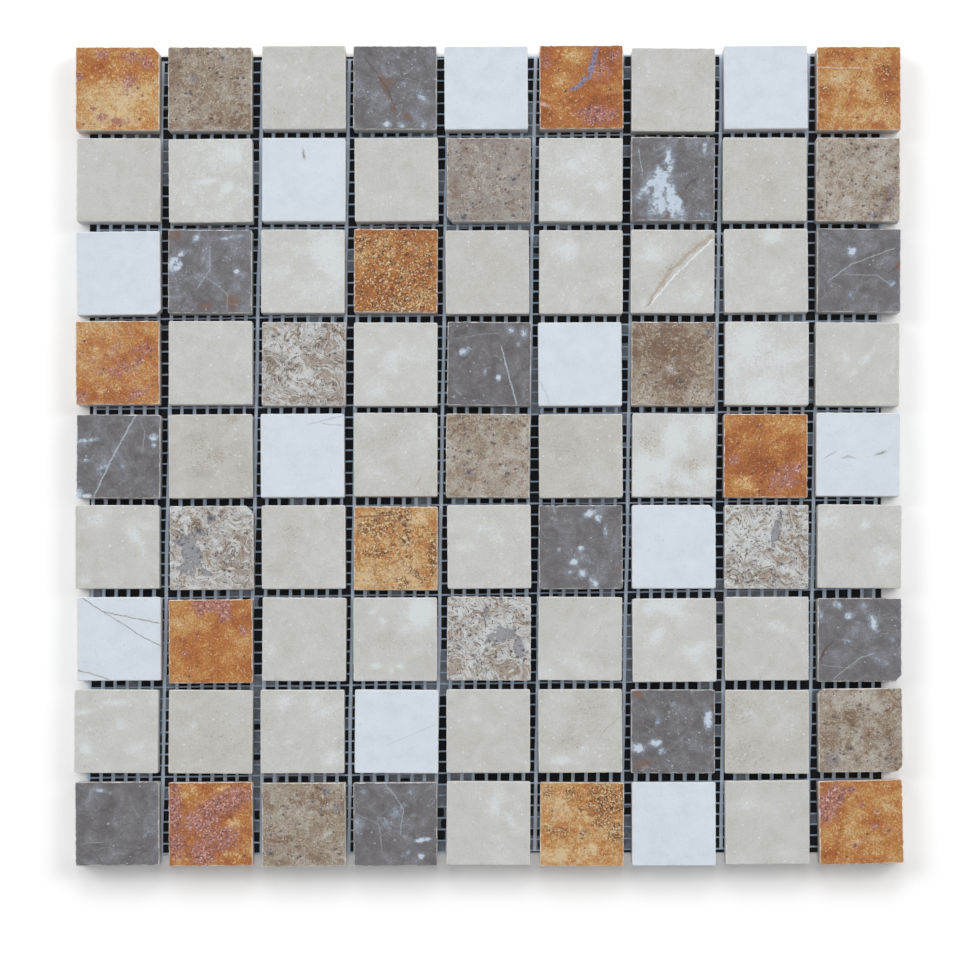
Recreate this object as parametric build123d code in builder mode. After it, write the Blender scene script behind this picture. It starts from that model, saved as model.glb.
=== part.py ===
"""Stone mosaic sheet: square chips of natural stone, glued face up on an open glass-fibre mesh.

Millimetres. The origin is under the middle of the sheet, on the surface that it lies on.
+X runs along a row of chips, +Y up a column of chips, +Z out of the stones' faces.
"""

import math
import os
import random

from build123d import *

os.makedirs("parts", exist_ok=True)

# A chip: sawn square from strip, then tumbled, which wears a small flat across its upright corners
# and along its upper arrises
CHIP_SIDE = 30.0
CHIP_THICKNESS = 8.0
CORNER_WEAR = 0.6
ARRIS_WEAR = 0.4

# The open joints between chips, which grout fills later
ROW_JOINT = 3.3
COLUMN_JOINT = 3.1

# The stone of each chip, one letter a chip, with the row at the +Y end first
SHEET = (
    "OBCGWOCWO",
    "CCWCBCGCB",
    "WGCOCCCCG",
    "OCMCGWBCC",
    "GCWCBCCOW",
    "CMCOCGWMC",
    "WOCCMCCCG",
    "CCCWCCGCB",
    "GOBGCOWCO",
)
STONES = {
    "C": "cream_marble_chips",
    "W": "white_limestone_chips",
    "G": "grey_marble_chips",
    "O": "gold_travertine_chips",
    "B": "brown_travertine_chips",
    "M": "mottled_travertine_chips",
}

# The chips are laid by hand: each one slips along X and Y and turns by up to this much
LAY_SLIP = 0.35
LAY_TURN = 0.45
LAY_SEED = 4

# Chips that lie further out of line: (row, column) to the slip along X and Y and the turn in degrees
STRAYS = {
    (0, 4): (-0.7, 0.0, 0.2),
    (0, 6): (0.1, -0.7, -0.3),
    (2, 0): (0.1, -0.5, 0.6),
    (6, 1): (0.0, -0.6, 0.4),
    (7, 0): (-0.7, 0.2, -0.3),
    (7, 8): (0.5, 0.4, 0.5),
    (8, 7): (0.3, 0.4, 0.4),
    (8, 8): (0.7, 0.5, 1.2),
}

# Corners knocked off in the tumbler: row, column, the corner's side along X and Y, and its lost length
KNOCKED_CORNERS = (
    (0, 0, 1, 1, 2.2),
    (1, 4, -1, -1, 2.0),
    (2, 0, 1, -1, 1.8),
    (5, 1, 1, 1, 2.4),
    (5, 6, 1, 1, 2.2),
    (6, 8, 1, -1, 2.4),
    (7, 8, -1, 1, 1.9),
    (7, 8, 1, -1, 2.1),
)

# The mesh: broad flat yarns up the columns, carried by thin yarns along the rows
BROAD_YARN_WIDTH = 1.25
BROAD_YARN_THICKNESS = 0.25
BROAD_YARN_PITCH = 4.5
THIN_YARN_WIDTH = 0.6
THIN_YARN_THICKNESS = 0.25
THIN_YARN_PITCH = 4.05

# The mesh is cut smaller than the field of chips, laid a little off centre and pulled askew:
# the broad yarns lean towards +X as they go up, and the thin yarns rise towards +X
MESH_SIDE_INSET = 5.7
MESH_END_INSET = 2.8
MESH_SLIP_X = -1.1
MESH_SLIP_Y = 1.0
BROAD_YARN_LEAN = 1.0
THIN_YARN_RISE = 0.7

row_count = len(SHEET)
column_count = len(SHEET[0])
row_pitch = CHIP_SIDE + COLUMN_JOINT
column_pitch = CHIP_SIDE + ROW_JOINT
sheet_width = column_count * column_pitch - ROW_JOINT
sheet_length = row_count * row_pitch - COLUMN_JOINT
mesh_top = THIN_YARN_THICKNESS + BROAD_YARN_THICKNESS

# Where each chip lies: the middle of its back, on top of the mesh, and its turn
hand = random.Random(LAY_SEED)
chip_places = {}
for row in range(row_count):
    for column in range(column_count):
        slip_x = hand.uniform(-LAY_SLIP, LAY_SLIP)
        slip_y = hand.uniform(-LAY_SLIP, LAY_SLIP)
        turn = hand.uniform(-LAY_TURN, LAY_TURN)
        slip_x, slip_y, turn = STRAYS.get((row, column), (slip_x, slip_y, turn))
        x = (column - (column_count - 1) / 2) * column_pitch + slip_x
        y = ((row_count - 1) / 2 - row) * row_pitch + slip_y
        chip_places[row, column] = Location((x, y, mesh_top), (0, 0, turn))

# Where a corner is knocked off: a square post, turned on edge, stands on the corner and cuts its lost length
# from both sides
corner_reach = CHIP_SIDE / 2


def knocked_corner(row, column, side_x, side_y, lost):
    """The cutting post's place, and the side of its square."""
    corner = Location((side_x * corner_reach, side_y * corner_reach, CHIP_THICKNESS / 2), (0, 0, 45))
    return chip_places[row, column] * corner, lost * math.sqrt(2)


# One chip, with its back on the plane of the sketch
with BuildPart() as chip:
    with BuildSketch() as chip_outline:
        Rectangle(CHIP_SIDE, CHIP_SIDE)
        chamfer(chip_outline.vertices(), CORNER_WEAR)
    extrude(amount=CHIP_THICKNESS)
    chamfer(chip.faces().sort_by(Axis.Z)[-1].edges(), ARRIS_WEAR)

# The chips of each kind of stone
for letter, name in STONES.items():
    own = [place for place in chip_places if SHEET[place[0]][place[1]] == letter]
    with BuildPart() as stone_chips:
        with Locations(*[chip_places[place] for place in own]):
            add(chip.part)
        for knock in KNOCKED_CORNERS:
            if knock[:2] in own:
                post, post_side = knocked_corner(*knock)
                with Locations(post):
                    Box(post_side, post_side, CHIP_THICKNESS, mode=Mode.SUBTRACT)
    stone_chips.part.label = name
    export_step(stone_chips.part, f"parts/{name}.step")

# The mesh's own plane: as many yarns each way as fit in the cut size, and each yarn ends at the last one
# that crosses it
cut_width = sheet_width - 2 * MESH_SIDE_INSET
cut_length = sheet_length - 2 * MESH_END_INSET
broad_count = int((cut_width - BROAD_YARN_WIDTH) / BROAD_YARN_PITCH) + 1
thin_count = int((cut_length - THIN_YARN_WIDTH) / THIN_YARN_PITCH) + 1
mesh_width = (broad_count - 1) * BROAD_YARN_PITCH + BROAD_YARN_WIDTH
mesh_length = (thin_count - 1) * THIN_YARN_PITCH + THIN_YARN_WIDTH
lean = math.tan(math.radians(BROAD_YARN_LEAN))
rise = math.tan(math.radians(THIN_YARN_RISE))

# Thin yarns along the rows, on the floor
thin_places = []
for index in range(thin_count):
    up = (index - (thin_count - 1) / 2) * THIN_YARN_PITCH
    thin_places.append(Location((MESH_SLIP_X + up * lean, MESH_SLIP_Y + up, 0), (0, 0, THIN_YARN_RISE)))
with BuildPart() as thin_yarns:
    with Locations(*thin_places):
        Box(
            mesh_width,
            THIN_YARN_WIDTH,
            THIN_YARN_THICKNESS,
            align=(Align.CENTER, Align.CENTER, Align.MIN),
        )
thin_yarns.part.label = "mesh_thin_yarns"
export_step(thin_yarns.part, "parts/mesh_thin_yarns.step")

# Broad yarns up the columns, on the thin ones and under the chips
broad_places = []
for index in range(broad_count):
    along = (index - (broad_count - 1) / 2) * BROAD_YARN_PITCH
    middle = (MESH_SLIP_X + along, MESH_SLIP_Y + along * rise, THIN_YARN_THICKNESS)
    broad_places.append(Location(middle, (0, 0, -BROAD_YARN_LEAN)))
with BuildPart() as broad_yarns:
    with Locations(*broad_places):
        Box(
            BROAD_YARN_WIDTH,
            mesh_length,
            BROAD_YARN_THICKNESS,
            align=(Align.CENTER, Align.CENTER, Align.MIN),
        )
broad_yarns.part.label = "mesh_broad_yarns"
export_step(broad_yarns.part, "parts/mesh_broad_yarns.step")

print("sheet", round(sheet_width, 2), "by", round(sheet_length, 2), "by", mesh_top + CHIP_THICKNESS)
print("chips", len(chip_places), "broad yarns", broad_count, "thin yarns", thin_count)
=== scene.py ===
# %% [markdown]
# # A mesh-mounted stone mosaic sheet
# The sheet is nine rows of nine sawn stone chips, glued face up on an open glass-fibre mesh. The solids of
# chips and yarns come in as a fixed frame. Each one is replaced here by a worn, pitted and coloured piece
# in the same place.

# %% Load the frame
import math

import bpy
import numpy as np
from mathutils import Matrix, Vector, noise


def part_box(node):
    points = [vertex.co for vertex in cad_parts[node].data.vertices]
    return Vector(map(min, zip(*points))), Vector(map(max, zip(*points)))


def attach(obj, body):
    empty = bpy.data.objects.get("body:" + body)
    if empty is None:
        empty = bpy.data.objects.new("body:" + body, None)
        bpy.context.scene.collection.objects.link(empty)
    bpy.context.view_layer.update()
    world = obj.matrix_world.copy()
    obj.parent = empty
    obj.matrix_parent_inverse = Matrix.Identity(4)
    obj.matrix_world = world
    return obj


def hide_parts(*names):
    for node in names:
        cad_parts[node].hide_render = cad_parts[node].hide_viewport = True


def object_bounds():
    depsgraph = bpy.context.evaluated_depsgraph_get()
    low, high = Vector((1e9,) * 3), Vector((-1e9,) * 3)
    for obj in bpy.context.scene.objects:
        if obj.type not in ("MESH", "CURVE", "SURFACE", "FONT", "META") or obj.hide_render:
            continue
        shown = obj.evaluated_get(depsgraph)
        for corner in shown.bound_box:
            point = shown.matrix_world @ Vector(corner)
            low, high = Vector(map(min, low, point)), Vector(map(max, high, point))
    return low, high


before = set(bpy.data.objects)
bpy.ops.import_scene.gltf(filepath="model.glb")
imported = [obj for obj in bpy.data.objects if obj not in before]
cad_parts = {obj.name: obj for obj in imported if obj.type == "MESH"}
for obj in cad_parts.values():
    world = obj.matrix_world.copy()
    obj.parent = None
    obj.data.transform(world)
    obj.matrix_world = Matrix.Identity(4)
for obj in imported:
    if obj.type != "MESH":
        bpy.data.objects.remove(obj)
cad_box = [list(corner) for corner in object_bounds()]
MM = 0.001
FACE_Z = cad_box[1][2]
print("frame box", cad_box)

# %% [markdown]
# ## Camera
# The sheet was looked at from straight above, from a point beyond its lower edge, so the chips of the
# upper rows show a little of their front sides. A long lens on the camera keeps the grid square. A lens
# shift does most of the work of looking from that point, and a tilt of under half a degree and a slight
# roll do the rest.

# %% Camera
IMAGE_SIDE = 980
SHEET_CENTRE_PX = (488.5, 455.35)
PX_PER_MM = 2.782
LENS = 109.0
SENSOR = 36.0
SHIFT_UP = 0.15
TILT = math.radians(0.4)
ROLL = math.radians(-0.04)

axis_px = (IMAGE_SIDE / 2, IMAGE_SIDE / 2 + SHIFT_UP * IMAGE_SIDE)
aim = Vector((
    (axis_px[0] - SHEET_CENTRE_PX[0]) / PX_PER_MM * MM,
    (SHEET_CENTRE_PX[1] - axis_px[1]) / PX_PER_MM * MM,
    FACE_Z,
))
distance = IMAGE_SIDE / PX_PER_MM * MM * LENS / SENSOR
bpy.ops.object.camera_add(
    location=aim + Vector((0, -math.sin(TILT), math.cos(TILT))) * distance,
    rotation=(TILT, 0, ROLL),
)
camera = bpy.context.object
camera.name = "camera"
camera.data.lens = LENS
camera.data.sensor_width = SENSOR
camera.data.shift_y = SHIFT_UP
bpy.context.scene.camera = camera
print("camera", [round(v, 3) for v in camera.location])

# %% [markdown]
# ## Colours and nodes
# Colours are written as they look on a screen and turned to the linear values that a renderer mixes. One
# function adds a node, sets its values and links its sockets, so that a material below reads as a list of
# what its surface is made of.

# %% Two helpers for materials


def linear(hex_colour):
    """An sRGB hex colour as linear red, green, blue and alpha."""
    parts = [int(hex_colour[i:i + 2], 16) / 255 for i in (1, 3, 5)]
    return [p / 12.92 if p <= 0.04045 else ((p + 0.055) / 1.055) ** 2.4 for p in parts] + [1.0]


def add(tree, kind, sockets=None, **settings):
    """A new node: settings are its properties, sockets its inputs by name or number, as values or links."""
    node = tree.nodes.new(kind)
    for key, value in settings.items():
        setattr(node, key, value)
    for key, value in (sockets or {}).items():
        if isinstance(value, bpy.types.NodeSocket):
            tree.links.new(value, node.inputs[key])
        else:
            node.inputs[key].default_value = value
    return node


def shade(node, stops):
    """Sets a Color Ramp's stops, each a place from 0 to 1 and a hex colour."""
    ramp = node.color_ramp
    while len(ramp.elements) < len(stops):
        ramp.elements.new(1.0)
    for element, (place, colour) in zip(ramp.elements, stops):
        element.position = place
        element.color = linear(colour)
    return node.outputs[0]


# %% [markdown]
# ## Floor, paper and light
# The floor is plain and white. A sheet of black paper lies between it and the mosaic, smaller than the
# mesh, so that the open cells of the mesh look into the dark. The floor glows a little for rays that the
# eye sees, which brings it to white and leaves the light on the stones alone.

# %% Floor and paper
FLOOR_SIDE = 8.0
FLOOR_DROP = 0.4 * MM
FLOOR_GLOW = 0.04
PAPER_DROP = 0.05 * MM
PAPER_INSET = 1.5 * MM
MATT = 0.9


def seen_directly(tree):
    """One for rays that show a thing to the eye, straight, in a gloss or through glass, else nought."""
    path = add(tree, "ShaderNodeLightPath").outputs
    seen = add(tree, "ShaderNodeMath", {0: path["Is Camera Ray"], 1: path["Is Glossy Ray"]}, operation="ADD")
    return add(tree, "ShaderNodeMath", {0: seen.outputs[0], 1: path["Is Transmission Ray"]},
               operation="ADD", use_clamp=True).outputs[0]


def matt_surface(name, colour):
    """A new matt material of one colour."""
    made = bpy.data.materials.new(name)
    made.use_nodes = True
    surface = made.node_tree.nodes["Principled BSDF"]
    surface.inputs["Base Color"].default_value = linear(colour)
    surface.inputs["Roughness"].default_value = MATT
    return made, surface


# Painted board: an even white without any gloss
floor_paint, surface = matt_surface("white_studio_floor", "#fdfdfd")
tree = floor_paint.node_tree
glow = add(tree, "ShaderNodeMath", {0: seen_directly(tree), 1: FLOOR_GLOW}, operation="MULTIPLY")
tree.links.new(glow.outputs[0], surface.inputs["Emission Strength"])
surface.inputs["Emission Color"].default_value = linear("#ffffff")
surface.inputs["Specular IOR Level"].default_value = 0.0
bpy.ops.object.select_all(action="DESELECT")
bpy.ops.mesh.primitive_plane_add(size=FLOOR_SIDE, location=(0, 0, -FLOOR_DROP))
floor = bpy.context.object
floor.name = "floor"
floor.data.materials.append(floor_paint)

# Dyed paper: a flat black with a slight blue cast
black_paper, surface = matt_surface("black_paper", "#0f1119")
mesh_low, mesh_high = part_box("mesh_thin_yarns")
bpy.ops.mesh.primitive_plane_add(size=1, location=((mesh_low + mesh_high) / 2)[:2] + (-PAPER_DROP,))
paper = bpy.context.object
paper.name = "paper"
paper.scale = (mesh_high.x - mesh_low.x - 2 * PAPER_INSET, mesh_high.y - mesh_low.y - 2 * PAPER_INSET, 1)
bpy.ops.object.transform_apply(location=True, rotation=True, scale=True)
paper.data.materials.append(black_paper)
print("paper", [round(side, 4) for side in paper.dimensions])

# %% [markdown]
# Four soft boxes stand around and above the sheet, and a weak fill in front. The back box throws the soft
# shadow below the sheet, and the two side boxes throw the shadows beside it and a little below. The
# overhead box reaches down into the joints, and the world fills the rest. The shares of lamps and world
# add up to about one, so that a colour renders about as it is written. A lamp's line gives its share, how
# far round it stands from the back, its elevation and its size in metres.

# %% Light
WORLD_SHARE = 0.17
LAMPS = (
    ("back_box", 0.19, 0, 33, (6.0, 2.8)),
    ("left_box", 0.27, 60, 36, (4.8, 4.0)),
    ("right_box", 0.27, -60, 36, (4.8, 4.0)),
    ("overhead_box", 0.07, 0, 90, (2.4, 2.4)),
    ("front_fill", 0.05, 180, 20, (8.0, 2.4)),
)
LAMP_DISTANCE = 8.0
LAMP_SPOTS = 24


def lamp(name, place, size, share):
    """A rectangular area lamp that faces the middle of the sheet and gives it a share of full light."""
    place = Vector(place)
    bpy.ops.object.light_add(type="AREA", location=place)
    made = bpy.context.object
    made.name = name
    made.rotation_euler = (-place).to_track_quat("-Z", "Y").to_euler()
    made.data.shape = "RECTANGLE"
    made.data.size, made.data.size_y = size
    turn = np.array(made.rotation_euler.to_matrix())
    steps = (np.arange(LAMP_SPOTS) + 0.5) / LAMP_SPOTS - 0.5
    spots = np.array([turn @ (u * size[0], v * size[1], 0) + place for u in steps for v in steps])
    far = np.linalg.norm(spots, axis=1)
    reached = np.mean((spots @ turn[:, 2] / far) * (spots[:, 2] / far) / far ** 2)
    made.data.energy = share * math.pi ** 2 / reached
    return made


for name, share, around, elevation, size in LAMPS:
    around, elevation = math.radians(around), math.radians(elevation)
    flat = math.cos(elevation)
    aim_from = Vector((-math.sin(around) * flat, math.cos(around) * flat, math.sin(elevation)))
    lamp(name, aim_from * LAMP_DISTANCE, size, share)
world = bpy.data.worlds.new("studio")
bpy.context.scene.world = world
world.use_nodes = True
sky = world.node_tree
sky.nodes.clear()
level = add(sky, "ShaderNodeMapRange", {0: seen_directly(sky), 3: WORLD_SHARE, 4: 1.0})
backdrop = add(sky, "ShaderNodeBackground", {"Color": linear("#ffffff"), "Strength": level.outputs[0]})
add(sky, "ShaderNodeOutputWorld", {"Surface": backdrop.outputs[0]})
bpy.context.scene.view_settings.view_transform = "Standard"
print("light shares", WORLD_SHARE, [share for name, share, *rest in LAMPS])

# %% [markdown]
# ## Where the solids lie
# Each node of the frame holds many solids: the chips of one stone, or the yarns of one direction. A merged
# copy of the node is separated into loose parts, and each part tells its middle, its turn and its size.

# %% Read the solids


def solids_of(node):
    """Each solid of a node: its middle, its turn about Z, and its points in its own turned frame."""
    bpy.ops.object.select_all(action="DESELECT")
    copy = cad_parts[node].copy()
    copy.data = copy.data.copy()
    copy.parent = None
    bpy.context.collection.objects.link(copy)
    copy.select_set(True)
    bpy.context.view_layer.objects.active = copy
    bpy.ops.object.mode_set(mode="EDIT")
    bpy.ops.mesh.select_all(action="SELECT")
    bpy.ops.mesh.remove_doubles(threshold=0.002 * MM)
    bpy.ops.mesh.separate(type="LOOSE")
    bpy.ops.object.mode_set(mode="OBJECT")
    found = []
    for part in list(bpy.context.selected_objects):
        points = np.array([v.co for v in part.data.vertices])
        ends = np.array([e.vertices[:] for e in part.data.edges])
        runs = points[ends[:, 1]] - points[ends[:, 0]]
        turns = np.arctan2(runs[:, 1], runs[:, 0])
        turns = turns[np.hypot(runs[:, 0], runs[:, 1]) > 0.5 * MM]
        turns -= np.round(turns / (math.pi / 2)) * math.pi / 2
        boxes = []
        for turn in turns:
            spin = np.array([[math.cos(turn), math.sin(turn)], [-math.sin(turn), math.cos(turn)]])
            own = np.column_stack((points[:, :2] @ spin.T, points[:, 2]))
            low, high = own.min(0), own.max(0)
            boxes.append(((high - low)[:2].prod(), turn, spin, own - (low + high) / 2, (low + high) / 2))
        area, turn, spin, own, middle = min(boxes, key=lambda box: box[0])
        middle[:2] = spin.T @ middle[:2]
        found.append((middle, turn, own))
        bpy.data.objects.remove(part)
    return found


STONE_NODES = (
    "cream_marble_chips", "white_limestone_chips", "grey_marble_chips",
    "gold_travertine_chips", "brown_travertine_chips", "mottled_travertine_chips",
)
chips = {node: solids_of(node) for node in STONE_NODES}
CHIP_SIDE = 2 * chips["cream_marble_chips"][0][2][:, 0].max()
CHIP_HEIGHT = 2 * chips["cream_marble_chips"][0][2][:, 2].max()
spread = np.array([middle for node in STONE_NODES for middle, turn, own in chips[node]])
COLUMNS = 9
ROWS = 9
column_pitch = (spread[:, 0].max() - spread[:, 0].min()) / (COLUMNS - 1)
row_pitch = (spread[:, 1].max() - spread[:, 1].min()) / (ROWS - 1)
print("chips", len(spread), "of", round(CHIP_SIDE / MM, 2), "mm, pitch",
      round(column_pitch / MM, 2), round(row_pitch / MM, 2))


def row_and_column(middle):
    """The row from the top and the column from the left of a chip whose middle is given."""
    return (
        round((ROWS - 1) / 2 - middle[1] / row_pitch),
        round((COLUMNS - 1) / 2 + middle[0] / column_pitch),
    )


# %% [markdown]
# ## One blank chip
# A chip could be a bevelled cube, but pits and worn edges need a face with points to move. So a blank
# starts as a fine grid for the face. Its border is rolled over in two small extrusions for the arris,
# pulled down for the sides and closed for the back. The blank is made once for each piece and copied.

# %% Blank chip
ARRIS = 0.3 * MM
CORNER_ROUND = 0.45 * MM
ARRIS_STEPS = 2
SIDE_STEPS = 4
HAIR = 0.01 * MM


def blank_chip(cells):
    """A chip around the origin with a face of cells by cells squares."""
    bpy.ops.object.select_all(action="DESELECT")
    bpy.ops.mesh.primitive_grid_add(
        x_subdivisions=cells, y_subdivisions=cells, size=CHIP_SIDE - 2 * ARRIS, location=(0, 0, 0),
    )
    blank = bpy.context.object
    blank.name = f"blank_{cells}"
    for vertex in blank.data.vertices:
        vertex.co.z = CHIP_HEIGHT / 2
    bpy.ops.object.mode_set(mode="EDIT")
    bpy.ops.mesh.select_all(action="SELECT")
    bpy.ops.mesh.region_to_loop()
    reach, depth = CHIP_SIDE / 2 - ARRIS, 0.0
    for step in range(1, ARRIS_STEPS + 1):
        angle = math.pi / 2 * step / ARRIS_STEPS
        new_reach = CHIP_SIDE / 2 - ARRIS + ARRIS * math.sin(angle)
        new_depth = ARRIS * (1 - math.cos(angle))
        bpy.ops.mesh.extrude_edges_move(TRANSFORM_OT_translate={"value": (0, 0, depth - new_depth)})
        bpy.ops.transform.resize(value=(new_reach / reach, new_reach / reach, 1))
        reach, depth = new_reach, new_depth
    drop = (CHIP_HEIGHT - ARRIS) / SIDE_STEPS
    for step in range(SIDE_STEPS):
        bpy.ops.mesh.extrude_edges_move(TRANSFORM_OT_translate={"value": (0, 0, -drop)})
    bpy.ops.mesh.edge_face_add()
    bpy.ops.mesh.select_all(action="SELECT")
    bpy.ops.mesh.normals_make_consistent(inside=False)
    bpy.ops.object.mode_set(mode="OBJECT")
    heights = [vertex.co.z for vertex in blank.data.vertices]
    top = CHIP_HEIGHT / 2
    border = CHIP_SIDE / 2 - ARRIS - HAIR
    rim = [max(abs(v.co.x), abs(v.co.y)) > border for v in blank.data.vertices]
    face = blank.vertex_groups.new(name="face")
    face.add([i for i, z in enumerate(heights) if z > top - HAIR and not rim[i]], 1.0, "REPLACE")
    arris = blank.vertex_groups.new(name="arris")
    arris.add([i for i, z in enumerate(heights) if z > top - ARRIS - HAIR and rim[i]], 1.0, "REPLACE")
    return blank
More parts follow.
